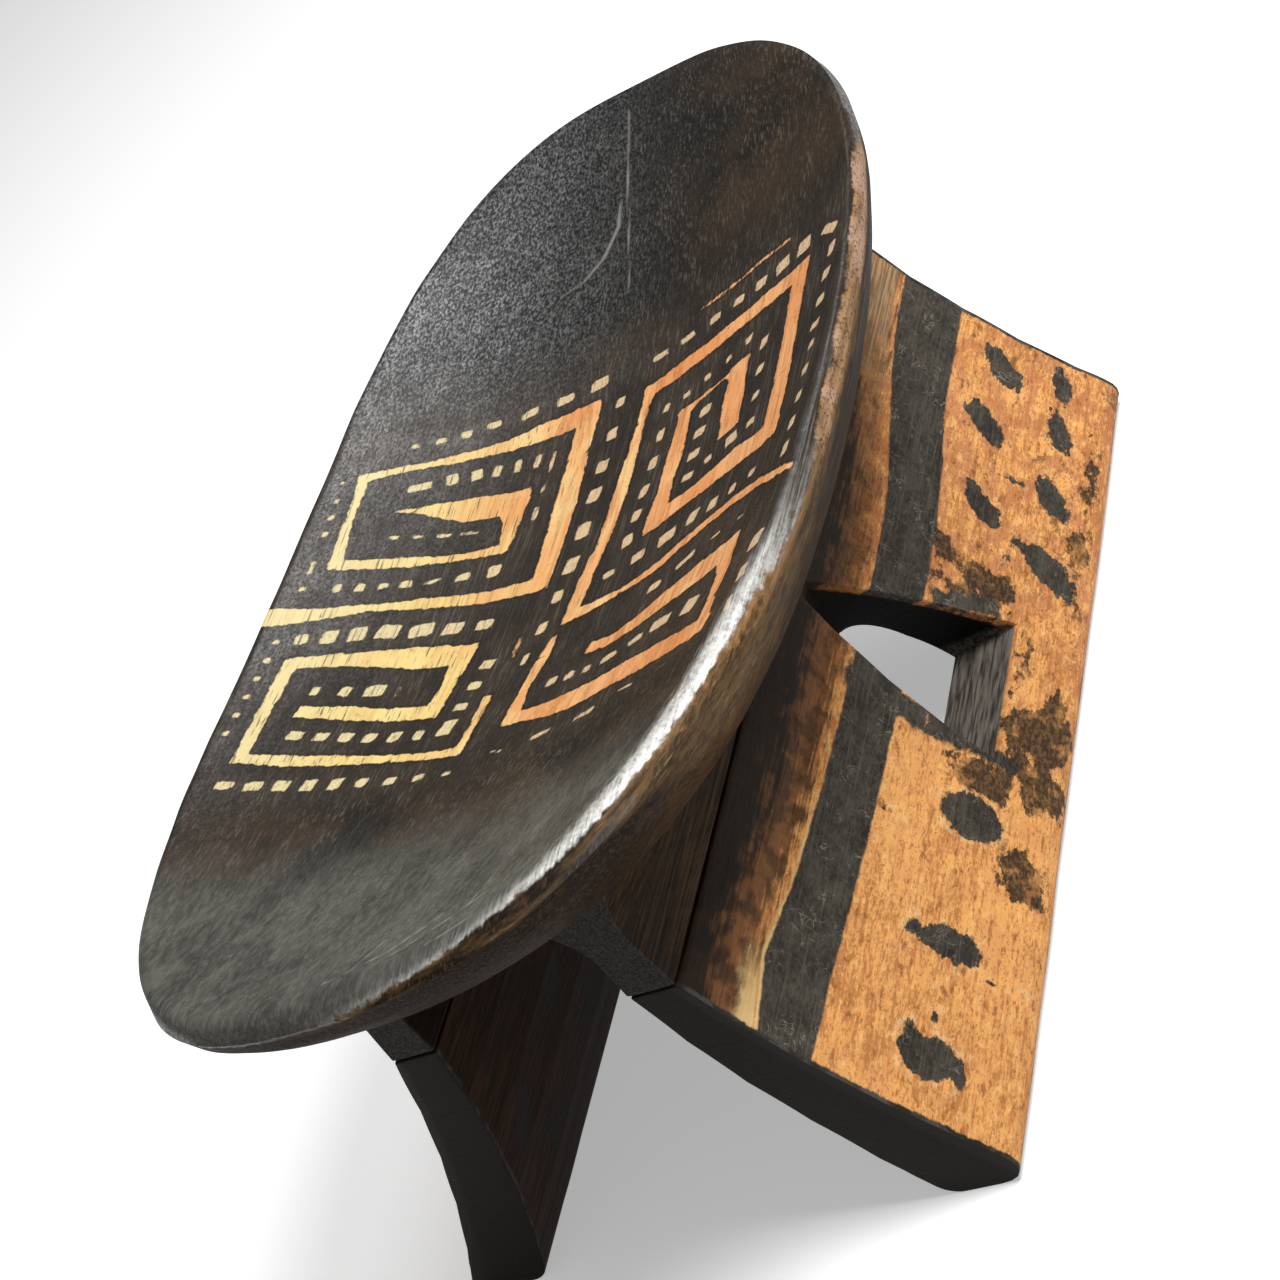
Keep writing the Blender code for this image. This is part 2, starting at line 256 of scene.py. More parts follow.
class RestSettings(bpy.types.PropertyGroup):
    """Sizes and colours of the rest."""

    length: FloatProperty(name="Length", description="Length of the rest in plan",
                          default=REST_BOX[1][1] - REST_BOX[0][1], unit="LENGTH")
    width: FloatProperty(name="Width", description="Width of the rest in plan",
                         default=REST_BOX[1][0] - REST_BOX[0][0], unit="LENGTH")
    outline_power: FloatProperty(name="Outline Power", description="2 is an ellipse; higher is squarer",
                                 default=2.7)
    dish_height: FloatProperty(name="Dish Height", description="Height of the middle of the dish",
                               default=0.115, unit="LENGTH")
    side_rise: FloatProperty(name="Side Rise", description="How far the dish rises to its sides",
                             default=0.0225, unit="LENGTH")
    end_rise: FloatProperty(name="End Rise", description="How far the dish rises to its ends",
                            default=0.034, unit="LENGTH")
    corner_ease: FloatProperty(name="Corner Ease", description="How far the dish falls short at its corners",
                               default=0.011, unit="LENGTH")
    thickness: FloatProperty(name="Thickness", description="Thickness in the middle", default=0.029,
                             unit="LENGTH")
    edge_depth: FloatProperty(name="Edge Depth", description="Depth of the rounding on top of the rim",
                              default=0.0055, unit="LENGTH")
    shoulder: FloatProperty(name="Shoulder", description="Breadth of the rounding on top of the rim",
                            default=0.0030, unit="LENGTH")
    worn_shoulder: FloatProperty(name="Worn Shoulder", description="What wear adds to it on the near right",
                                 default=0.0060, unit="LENGTH")
    rib_cove: FloatProperty(name="Rib Cove", description="How far a rib flares into the underside",
                            default=0.010, unit="LENGTH")
    carving: FloatProperty(name="Carving Marks", description="Depth of the unevenness left by hand carving",
                           default=0.0005, unit="LENGTH")
    charcoal: FloatVectorProperty(name="Charcoal", description="Paint of the top", subtype="COLOR",
                                  default=(0.0105, 0.0098, 0.0088), size=3)
    thin_paint: FloatVectorProperty(name="Thin Paint", description="Where the wood tints the paint",
                                    subtype="COLOR", default=(0.050, 0.028, 0.014), size=3)
    lemon: FloatVectorProperty(name="Lemon", description="Pattern paint on the left side", subtype="COLOR",
                               default=(0.77, 0.595, 0.225), size=3)
    amber: FloatVectorProperty(name="Amber", description="Pattern paint on the right side", subtype="COLOR",
                               default=(0.76, 0.375, 0.155), size=3)
    bare_wood: FloatVectorProperty(name="Bare Wood", description="Wood on the worn rim", subtype="COLOR",
                                   default=(0.42, 0.25, 0.12), size=3)
    stained_wood: FloatVectorProperty(name="Stained Wood", description="Underside and neck",
                                      subtype="COLOR", default=(0.140, 0.080, 0.032), size=3)


class PanelSettings(bpy.types.PropertyGroup):
    """Sizes and colours of the panels."""

    shift: FloatProperty(name="Shift", description="Offset of the panels along the rest", default=0.008,
                         unit="LENGTH")
    joint_height: FloatProperty(name="Joint Height", description="Where the panels meet the rest",
                                default=0.085, unit="LENGTH")
    joint_gap: FloatProperty(name="Joint Gap", description="Clearance in the joint", default=0.0003,
                             unit="LENGTH")
    joint_outside: FloatProperty(name="Joint Outside", description="Outer face from the middle, at the joint",
                                 default=0.0407, unit="LENGTH")
    joint_half_length: FloatProperty(name="Joint Half Length", description="Half length at the joint",
                                     default=0.1345, unit="LENGTH")
    joint_thickness: FloatProperty(name="Joint Thickness", description="Thickness at the joint",
                                   default=0.0125, unit="LENGTH")
    foot_thickness: FloatProperty(name="Foot Thickness", description="Thickness at the floor",
                                  default=0.0245, unit="LENGTH")
    foot_splay: FloatProperty(name="Foot Splay", description="How far the foot stands out", default=0.043,
                              unit="LENGTH")
    end_splay: FloatProperty(name="End Splay", description="How much longer the foot is at each end",
                             default=0.002, unit="LENGTH")
    hollow: FloatProperty(name="Hollow", description="How far the outer face curves inwards",
                          default=0.0041, unit="LENGTH")
    nose_outside: FloatProperty(name="Outer Foot Rounding", description="Rounding of the foot outside",
                                default=0.011, unit="LENGTH")
    nose_inside: FloatProperty(name="Inner Foot Rounding", description="Rounding of the foot inside",
                               default=0.004, unit="LENGTH")
    window_width: FloatProperty(name="Window Width", description="Width of the window at its sill",
                                default=0.0486, unit="LENGTH")
    window_sill: FloatProperty(name="Window Sill", description="Height of the sill", default=0.022,
                               unit="LENGTH")
    window_top: FloatProperty(name="Window Top", description="Height of the window's point", default=0.0785,
                              unit="LENGTH")
    window_bulge: FloatProperty(name="Window Bulge", description="How far the window's sides curve out",
                                default=0.007, unit="LENGTH")
    window_tip: FloatProperty(name="Window Tip", description="Half width of the window's blunt point",
                              default=0.0025, unit="LENGTH")
    window_lean: FloatProperty(name="Window Lean", description="How far the point leans to the near end",
                               default=0.004, unit="LENGTH")
    arch_sill: FloatProperty(name="Arch Sill", description="Height of the sill on the inner face",
                             default=0.0200, unit="LENGTH")
    arch_rise: FloatProperty(name="Arch Rise", description="Height of the window on the inner face",
                             default=0.033, unit="LENGTH")
    arch_half: FloatProperty(name="Arch Half Width", description="Half width of the window on the inner face",
                             default=0.022, unit="LENGTH")
    worn_edge: FloatProperty(name="Worn Edge", description="Rounding of the cut edges", default=0.0011,
                             unit="LENGTH")
    cell: FloatProperty(name="Mesh Cell", description="Spacing of the mesh that carries the paint",
                        default=0.0016, unit="LENGTH")
    orange: FloatVectorProperty(name="Orange", description="Paint of the field", subtype="COLOR",
                                default=(0.88, 0.43, 0.135), size=3)
    rust: FloatVectorProperty(name="Rust", description="Mottling of the field", subtype="COLOR",
                              default=(0.46, 0.17, 0.052), size=3)
    black: FloatVectorProperty(name="Black", description="Band, dabs and ends", subtype="COLOR",
                               default=(0.026, 0.0225, 0.018), size=3)
    # Umber of the inner faces, made near-black: their colour and painted shade.
    umber_and_shade: FloatVectorProperty(name="Umber", description="Inner faces", subtype="COLOR",
                               default=(0.013, 0.0062, 0.0034), size=3)
    weathered: FloatVectorProperty(name="Weathered Wood", description="Worn sill of the window",
                                   subtype="COLOR", default=(0.20, 0.175, 0.15), size=3)


class StageSettings(bpy.types.PropertyGroup):
    """Camera, floor and lamps."""

    lens: FloatProperty(name="Lens", description="Focal length", default=73.55, subtype="DISTANCE_CAMERA")
    floor_size: FloatProperty(name="Floor Size", description="Side of the floor", default=40.0, unit="LENGTH")
    floor_colour: FloatVectorProperty(name="Floor", description="Colour of the floor", subtype="COLOR",
                                      default=(0.86, 0.86, 0.86), size=3)
    key_power: FloatProperty(name="Key Lamp", description="Power of the key lamp", default=14.5, unit="POWER")
    top_power: FloatProperty(name="Top Lamp", description="Power of the top lamp", default=9.0, unit="POWER")
    sky: FloatProperty(name="Sky", description="Strength of the even light", default=0.15)
    white: FloatProperty(name="White", description="White that the floor adds in the picture", default=0.4)


class Number:
    """A value that varies over a surface, so that shader maths reads as Python."""

    def __init__(self, recipe, socket):
        self.recipe = recipe
        self.socket = socket

    def _math(self, operation, first, second=0.0, third=0.0):
        node = self.recipe.add("ShaderNodeMath", {"operation": operation},
                               {0: first, 1: second, 2: third})
        return Number(self.recipe, node.outputs[0])

    def __add__(self, other):
        return self._math("ADD", self, other)

    def __radd__(self, other):
        return self._math("ADD", other, self)

    def __sub__(self, other):
        return self._math("SUBTRACT", self, other)

    def __rsub__(self, other):
        return self._math("SUBTRACT", other, self)

    def __mul__(self, other):
        return self._math("MULTIPLY", self, other)

    def __rmul__(self, other):
        return self._math("MULTIPLY", other, self)

    def __abs__(self):
        return self._math("ABSOLUTE", self)

    def most(self, other):
        """The larger of two values."""
        return self._math("MAXIMUM", self, other)

    def step(self, low, high):
        """0 at low, 1 at high, with a smooth run between."""
        node = self.recipe.add("ShaderNodeMapRange", {"interpolation_type": "SMOOTHSTEP"},
                               {"Value": self, "From Min": low, "From Max": high})
        return Number(self.recipe, node.outputs[0])


class Recipe:
    """A material in the making."""

    def __init__(self, name):
        self.material = bpy.data.materials.new(name)
        self.material.use_nodes = True
        self.tree = self.material.node_tree
        self.shader = self.tree.nodes["Principled BSDF"]
        self.place = self.add("ShaderNodeTexCoord").outputs["Object"]

    def add(self, kind, settings=None, inputs=None):
        """Add a node of a type, with its settings and the values or links of its sockets."""
        node = self.tree.nodes.new(kind)
        for name, value in (settings or {}).items():
            setattr(node, name, value)
        for name, value in (inputs or {}).items():
            self.feed(node.inputs[name], value)
        return node

    def feed(self, socket, value):
        """Link a value or set it on a socket."""
        if isinstance(value, Number):
            value = value.socket
        if isinstance(value, bpy.types.NodeSocket):
            self.tree.links.new(value, socket)
        elif isinstance(socket.default_value, (int, float)):
            socket.default_value = value
        else:
            room = len(socket.default_value)
            socket.default_value = (tuple(value) + (1.0,))[:room]

    def stretched(self, across, along, up):
        """Object coordinates, with each direction scaled."""
        scales = {"Vector": self.place, "Scale": (across, along, up)}
        return self.add("ShaderNodeMapping", None, scales).outputs[0]

    def axis(self, name):
        """One Object coordinate, in metres."""
        return Number(self, self.add("ShaderNodeSeparateXYZ", None, {0: self.place}).outputs[name])

    def mottle(self, place, scale, detail=3.0, roughness=0.55, distortion=0.0):
        """Cloudy noise from 0 to 1."""
        node = self.add("ShaderNodeTexNoise", None, {"Vector": place, "Scale": scale, "Detail": detail,
                                                     "Roughness": roughness, "Distortion": distortion})
        return Number(self, node.outputs[0])

    def carried(self, name):
        """A value that the mesh carries at its points."""
        return Number(self, self.add("ShaderNodeAttribute", {"attribute_name": name}).outputs["Fac"])

    def blend(self, factor, first, second):
        """A colour between two colours."""
        node = self.add("ShaderNodeMix", {"data_type": "RGBA"}, {0: factor, 6: first, 7: second})
        return node.outputs[2]

    def finish(self, colour, roughness, height, depth, varnish=0.0):
        """Feed the shader and hand over the material."""
        self.feed(self.shader.inputs["Base Color"], colour)
        self.feed(self.shader.inputs["Roughness"], roughness)
        self.feed(self.shader.inputs["Specular IOR Level"], PAINT_GLOSS)
        self.feed(self.shader.inputs["Coat Roughness"], VARNISH_ROUGHNESS)
        self.feed(self.shader.inputs["Coat IOR"], VARNISH_IOR)
        self.feed(self.shader.inputs["Coat Weight"], varnish)
        bump = self.add("ShaderNodeBump", None, {"Height": height, "Distance": depth, "Strength": 1.0})
        self.feed(self.shader.inputs["Normal"], bump.outputs[0])
        return self.material


def divided_box(across, along, up):
    """A box from -1 to 1 across and along and from 0 to 1 upwards, divided evenly."""
    form = bmesh.new()
    bmesh.ops.create_cube(form, size=2)
    for axis, count in enumerate((across, along, up)):
        if count > 1:
            runs = [e for e in form.edges if e.verts[0].co[axis] * e.verts[1].co[axis] < 0]
            bmesh.ops.subdivide_edges(form, edges=runs, cuts=count - 1, use_grid_fill=True)
    for vertex in form.verts:
        vertex.co.z = (vertex.co.z + 1) / 2
    return form


def to_object(form, name):
    """Turn a form into an object with its faces outwards."""
    form.normal_update()
    bmesh.ops.recalc_face_normals(form, faces=form.faces)
    mesh = bpy.data.meshes.new(name)
    form.to_mesh(mesh)
    form.free()
    made = bpy.data.objects.new(name, mesh)
    bpy.context.scene.collection.objects.link(made)
    return made


def merge(body, others, operation):
    """Join forms to a body or cut them away, for good, and drop the forms."""
    for other in others:
        step = body.modifiers.new(other.name, "BOOLEAN")
        step.operation = operation
        step.solver = "EXACT"
        step.object = other
    shaped = bpy.data.meshes.new_from_object(body.evaluated_get(bpy.context.evaluated_depsgraph_get()))
    body.modifiers.clear()
    rough = body.data
    body.data = shaped
    bpy.data.meshes.remove(rough)
    for other in others:
        bpy.data.objects.remove(other, do_unlink=True)


def points_of(mesh):
    """The places of a mesh's points as an array."""
    flat = np.empty(len(mesh.vertices) * 3, dtype=np.float32)
    mesh.vertices.foreach_get("co", flat)
    return flat.reshape(-1, 3).astype(float)


def carry(mesh, name, values):
    """Store one value at each point of a mesh."""
    layer = mesh.attributes.new(name, "FLOAT", "POINT")
    layer.data.foreach_set("value", np.asarray(values, dtype=np.float32))


def stroke_depth(x, y, stroke):
    """How deep points lie inside a stroke, in its own units; negative outside."""
    headings = [math.atan2(b[1] - a[1], b[0] - a[0]) for a, b in zip(stroke, stroke[1:])]
    turns = [abs(math.remainder(b - a, math.tau)) for a, b in zip(headings, headings[1:])]
    squareness = [1.0] + [min(1.0, turn / SQUARE_TURN) for turn in turns] + [1.0]
    depth = np.full(x.shape, OUTSIDE)
    for place, heading in enumerate(headings):
        (x0, y0, b0), (x1, y1, b1) = stroke[place], stroke[place + 1]
        run = math.hypot(x1 - x0, y1 - y0)
        ux, uy = math.cos(heading), math.sin(heading)
        along = (x - x0) * ux + (y - y0) * uy
        aside = np.abs((y - y0) * ux - (x - x0) * uy)
        half = (b0 + (b1 - b0) * np.clip(along / run, 0, 1)) / 2
        before = along + squareness[place] * b0 / 2
        after = run + squareness[place + 1] * b1 / 2 - along
        depth = np.maximum(depth, np.minimum(half - aside, np.minimum(before, after)))
    return depth


def dab_depth(x, y, row):
    """How deep points lie inside the dabs of a row; negative outside."""
    x0, y0, x1, y1, count, l0, b0, l1, b1 = row
    run = max(math.hypot(x1 - x0, y1 - y0), 0.001)
    ux, uy = (x1 - x0) / run, (y1 - y0) / run
    depth = np.full(x.shape, OUTSIDE)
    for place in range(count):
        share = place / (count - 1) if count > 1 else 0.5
        swing = noise.noise((x0 + place * DAB_STRIDE, y0, DAB_SEED))
        cx, cy = x0 + (x1 - x0) * share, y0 + (y1 - y0) * share
        lean = DAB_LEAN * swing
        vx, vy = ux * math.cos(lean) - uy * math.sin(lean), uy * math.cos(lean) + ux * math.sin(lean)
        along = np.abs((x - cx) * vx + (y - cy) * vy)
        aside = np.abs((y - cy) * vx - (x - cx) * vy)
        half = (l0 + (l1 - l0) * share) * (1 + DAB_STRETCH * swing) / 2
        breadth = (b0 + (b1 - b0) * share) / 2
        depth = np.maximum(depth, np.minimum(half - along, breadth - aside))
    return depth


def oval_depth(y, z, dabs):
    """How deep points lie inside oval dabs; negative outside."""
    depth = np.full(y.shape, OUTSIDE)
    for place, height, half_length, half_height, lean in dabs:
        turn = math.radians(lean)
        along = (y - place) * math.cos(turn) + (z - height) * math.sin(turn)
        aside = (z - height) * math.cos(turn) - (y - place) * math.sin(turn)
        reach = np.hypot(along / half_length, aside / half_height)
        depth = np.maximum(depth, (1 - reach) * min(half_length, half_height))
    return depth


def uneven(points, scale, seed):
    """Smooth noise from -1 to 1 at each point."""
    return np.array([noise.noise((x * scale + seed, y * scale, z * scale)) for x, y, z in points])


class RestShape:
    """Where the surfaces of the rest lie."""

    def __init__(self, rest):
        self.rest = rest
        self.half_width = rest.width / 2
        self.half_length = rest.length / 2

    def fraction(self, x, y):
        """How far a plan point lies towards the rim: 0 in the middle, 1 on the outline."""
        power = self.rest.outline_power
        return (abs(x / self.half_width) ** power + abs(y / self.half_length) ** power) ** (1 / power)

    def dish(self, x, y):
        """Height of the dished top before its edge is rounded."""
        across = (x / self.half_width) ** 2
        along = (y / self.half_length) ** 2
        return (self.rest.dish_height + self.rest.side_rise * across + self.rest.end_rise * along
                - self.rest.corner_ease * across * along)

    def top(self, x, y):
        """Height of the top."""
        reach = math.hypot(x, y)
        share = self.fraction(x, y)
        if share <= 0.5:
            return self.dish(x, y)
        toward = (WEAR_ACROSS * x / self.half_width - y / self.half_length) / (WEAR_REACH * share)
        aim = max(0.0, min(1.0, toward))
        breadth = self.rest.shoulder + self.rest.worn_shoulder * aim * aim
        inset = reach * (1 / share - 1)
        turn = max(0.0, 1 - inset / breadth)
        bow = FRESH_BOW - WORN_BOW * aim * aim
        kept = max(0.0, 1 - turn ** bow) ** (1 / bow)
        return self.dish(x, y) - self.rest.edge_depth * (1 - kept)

    def under(self, x, y):
        """Height of the underside."""
        power, root = UNDERSIDE_ROUNDING
        kept = max(0.0, 1 - self.fraction(x, y) ** power) ** (1 / root)
        return self.dish(x, y) - self.rest.edge_depth - (self.rest.thickness - self.rest.edge_depth) * kept


class PanelShape:
    """Where the faces of a panel lie."""

    def __init__(self, panel):
        self.panel = panel

    def drop(self, z):
        """How far a height lies below the joint: 0 at the joint, 1 on the floor."""
        return (self.panel.joint_height - z) / self.panel.joint_height

    def outside(self, z):
        """Distance of the outer face from the middle plane."""
        drop = self.drop(z)
        return (self.panel.joint_outside + self.panel.foot_splay * drop
                - 4 * self.panel.hollow * drop * (1 - drop))

    def thickness(self, z):
        """Thickness, measured level."""
        return (self.panel.joint_thickness
                + (self.panel.foot_thickness - self.panel.joint_thickness) * self.drop(z))

    def window_sides(self, share):
        """Both sides of the outer mouth of the window at a share of its height."""
        panel = self.panel
        middle = panel.shift - panel.window_lean * share * share
        half = panel.window_width / 2 * (1 - share) + panel.window_tip * share
        half = half + panel.window_bulge * share * (1 - share)
        return middle - half, middle + half

    def end(self, z):
        """Distance of the end faces from the panels' middle."""
        return self.panel.joint_half_length + self.panel.end_splay * self.drop(z)


def slab_form(shape):
    """The slab of the rest: a finely divided box pressed to the outline, the dish and the underside."""
    form = divided_box(*SLAB_GRID)
    power = shape.rest.outline_power
    for vertex in form.verts:
        across, along, up = vertex.co
        along = along * (1 - MIDDLE_CROWDING * (1 - along * along))
        across = across * (1 + SIDE_CROWDING * (1 - across * across))
        reach = max(abs(across), abs(along))
        if reach > 0:
            pull = ((abs(across) / reach) ** power + (abs(along) / reach) ** power) ** (-1 / power)
            across, along = across * pull, along * pull
        x, y = across * shape.half_width, along * shape.half_length
        vertex.co = Vector((x, y, shape.top(x, y) if up > 0.5 else shape.under(x, y)))
    bmesh.ops.remove_doubles(form, verts=form.verts, dist=WELD)
    return form


def rib_form(shape, panel_shape, side):
    """A rib: the neck between the underside and a panel, flared into the underside."""
    panel, rest = panel_shape.panel, shape.rest
    form = divided_box(*RIB_GRID)
    for vertex in form.verts:
        across, along, up = vertex.co
        base = panel.joint_outside - panel.joint_thickness * (1 - across) / 2
        station = panel.shift + along * panel.joint_half_length
        top = shape.under(base + rest.rib_cove * across, station) + RIB_EMBED
        z = panel.joint_height + (top - panel.joint_height) * up
        flare = max(0.0, (up - RIB_COVE_START) / (1 - RIB_COVE_START)) * math.pi / 2
        lean = RIB_LEAN * (z - panel.joint_height) * (1 + across) / 2
        x = base - lean + rest.rib_cove * across * (1 - math.cos(flare))
        vertex.co = Vector((x * side, panel.shift + along * panel_shape.end(z), z))
    form.normal_update()
    low = [e for e in form.edges if e.calc_face_angle(0) > SQUARE_EDGE and
           all(v.co.z < panel.joint_height + WELD for v in e.verts)]
    bmesh.ops.bevel(form, geom=low, offset=RIB_EDGE, offset_type="OFFSET", segments=2, profile=0.5,
                    affect="EDGES", material=-1)
    return form


def window_form(panel_shape, side):
    """The block that cuts a window: pointed on the outer face, a lower round arch on the inner one."""
    panel = panel_shape.panel
    lines = []
    for part in (0, 1):
        for count in range(WINDOW_STEPS + 1):
            share = (count if part == 0 else WINDOW_STEPS - count) / WINDOW_STEPS
            height = panel.window_sill + (panel.window_top - panel.window_sill) * share
            mouth = Vector((panel_shape.outside(height), panel_shape.window_sides(share)[1 - part], height))
            turn = share * math.pi / 2
            low = panel.arch_sill + panel.arch_rise * math.sin(turn)
            half = panel.window_tip + (panel.arch_half - panel.window_tip) * math.cos(turn)
            depth = panel_shape.outside(low) - panel_shape.thickness(low)
            lines.append((mouth, Vector((depth, panel.shift + (half if part == 0 else -half), low))))
    form = bmesh.new()
    rows = []
    for run in WINDOW_ROWS:
        places = [mouth.lerp(arch, run) for mouth, arch in lines]
        rows.append([form.verts.new((v.x * side, v.y, v.z)) for v in places])
    form.faces.new(rows[0])
    form.faces.new(reversed(rows[-1]))
    for row, following in zip(rows, rows[1:]):
        for place, corner in enumerate(row):
            form.faces.new((corner, following[place], following[place - 1], row[place - 1]))
    return form


def panel_form(panel_shape, side):
    """A leaning panel with a rounded foot."""
    panel = panel_shape.panel
    form = divided_box(1, 1, PANEL_TREADS)
    floor_edges = [e for e in form.edges if all(v.co.z == 0 for v in e.verts)]
    outer = [e for e in floor_edges if all(v.co.x > 0 for v in e.verts)]
    inner = [e for e in floor_edges if all(v.co.x < 0 for v in e.verts)]
    for vertex in form.verts:
        across, along, up = vertex.co
        z = (panel.joint_height - panel.joint_gap) * up
        x = panel_shape.outside(z) - panel_shape.thickness(z) * (1 - across) / 2
        vertex.co = Vector((x * side, panel.shift + along * panel_shape.end(z), z))
    for edges, ease in ((outer, panel.nose_outside), (inner, panel.nose_inside)):
        bmesh.ops.bevel(form, geom=edges, offset=ease, offset_type="OFFSET", segments=6, profile=0.5,
                        affect="EDGES", material=-1)
    return form


def slice_up(form, spacing, low, high):
    """Cut a form by level and upright planes, so that its points lie close together."""
    for axis in (1, 2):
        normal = Vector((0, 0, 0))
        normal[axis] = 1
        place = low[axis] + spacing
        while place < high[axis]:
            bmesh.ops.bisect_plane(form, geom=form.verts[:] + form.edges[:] + form.faces[:],
                                   plane_co=normal * place, plane_no=normal, dist=WELD)
            place += spacing


class HEADREST_OT_rest(bpy.types.Operator):
    """Make the dished rest with its painted meander"""

    bl_idname = "headrest.make_rest"
    bl_label = "Make Rest"

    def execute(self, context):
        """Model the rest, store the pattern on its points and paint it."""
        rest = context.scene.headrest_rest
        shape = RestShape(rest)
        panel_shape = PanelShape(context.scene.headrest_panel)
        body = to_object(slab_form(shape), "painted_rest")
        ribs = [to_object(rib_form(shape, panel_shape, side), "rib_form") for side in (1, -1)]
        merge(body, ribs, "UNION")
        self.lay_pattern(body.data, shape, panel_shape)
        self.carve(body.data, rest, shape)
        body.data.shade_smooth()
        body.data.set_sharp_from_angle(angle=CRISP_ANGLE)
        body.data.materials.clear()
        body.data.materials.append(rest_finish(rest))
        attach(body, "root")
        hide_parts("rest")
        return {"FINISHED"}

    def lay_pattern(self, mesh, shape, panel_shape):
        """Store how deep each point lies in the strokes and dabs, and how near the rim it is."""
        points = points_of(mesh)
        x, y = points[:, 0] / MM, points[:, 1] / MM
        strokes = np.full(x.shape, OUTSIDE)
        for stroke in SPIRALS:
            strokes = np.maximum(strokes, stroke_depth(x, y, stroke))
        dabs = np.full(x.shape, OUTSIDE)
        for row in DAB_ROWS:
            dabs = np.maximum(dabs, dab_depth(x, y, row))
        marks = np.full(x.shape, OUTSIDE)
        for scratch in SCRATCHES:
            marks = np.maximum(marks, stroke_depth(x, y, scratch))
        tops = np.array([shape.top(a, b) for a, b, _ in points])
        rims = np.array([shape.fraction(a, b) for a, b, _ in points])
        edges = np.hypot(x, y) * (1 / np.maximum(rims, LEAST_FRACTION) - 1)
        below = np.clip((tops - points[:, 2]) / RIM_DEPTH, 0, 1)
        carry(mesh, "stroke", np.where(below > 0.5, OUTSIDE, strokes))
        carry(mesh, "dab", np.where(below > 0.5, OUTSIDE, dabs))
        carry(mesh, "scratch", np.where(below > 0.5, OUTSIDE, marks))
        carry(mesh, "edge", edges)
        carry(mesh, "below", below)
        carry(mesh, "drop", (tops - points[:, 2]) / MM)
        ends = np.array([panel_shape.end(c) for _, _, c in points])
        carry(mesh, "butt", (np.abs(points[:, 1] - panel_shape.panel.shift) - ends) / MM)

    def carve(self, mesh, rest, shape):
        """Give the rest the unevenness of hand carving."""
        points = points_of(mesh)
        normals = np.empty(len(mesh.vertices) * 3, dtype=np.float32)
        mesh.vertices.foreach_get("normal", normals)
        normals = normals.reshape(-1, 3)
        swell = sum(uneven(points, scale, seed) * share for scale, seed, share in REST_SWELLS)
        rims = np.array([shape.fraction(a, b) for a, b, _ in points])
        weight = np.where(points[:, 2] < RIB_TOP, RIB_TRUENESS, 1.0)
        weight = weight * (1 + RIM_ROUGHNESS * (rims > RIM_START))
        moved = points + normals * (swell * weight * rest.carving)[:, None]
        mesh.vertices.foreach_set("co", moved.astype(np.float32).ravel())
        mesh.update()


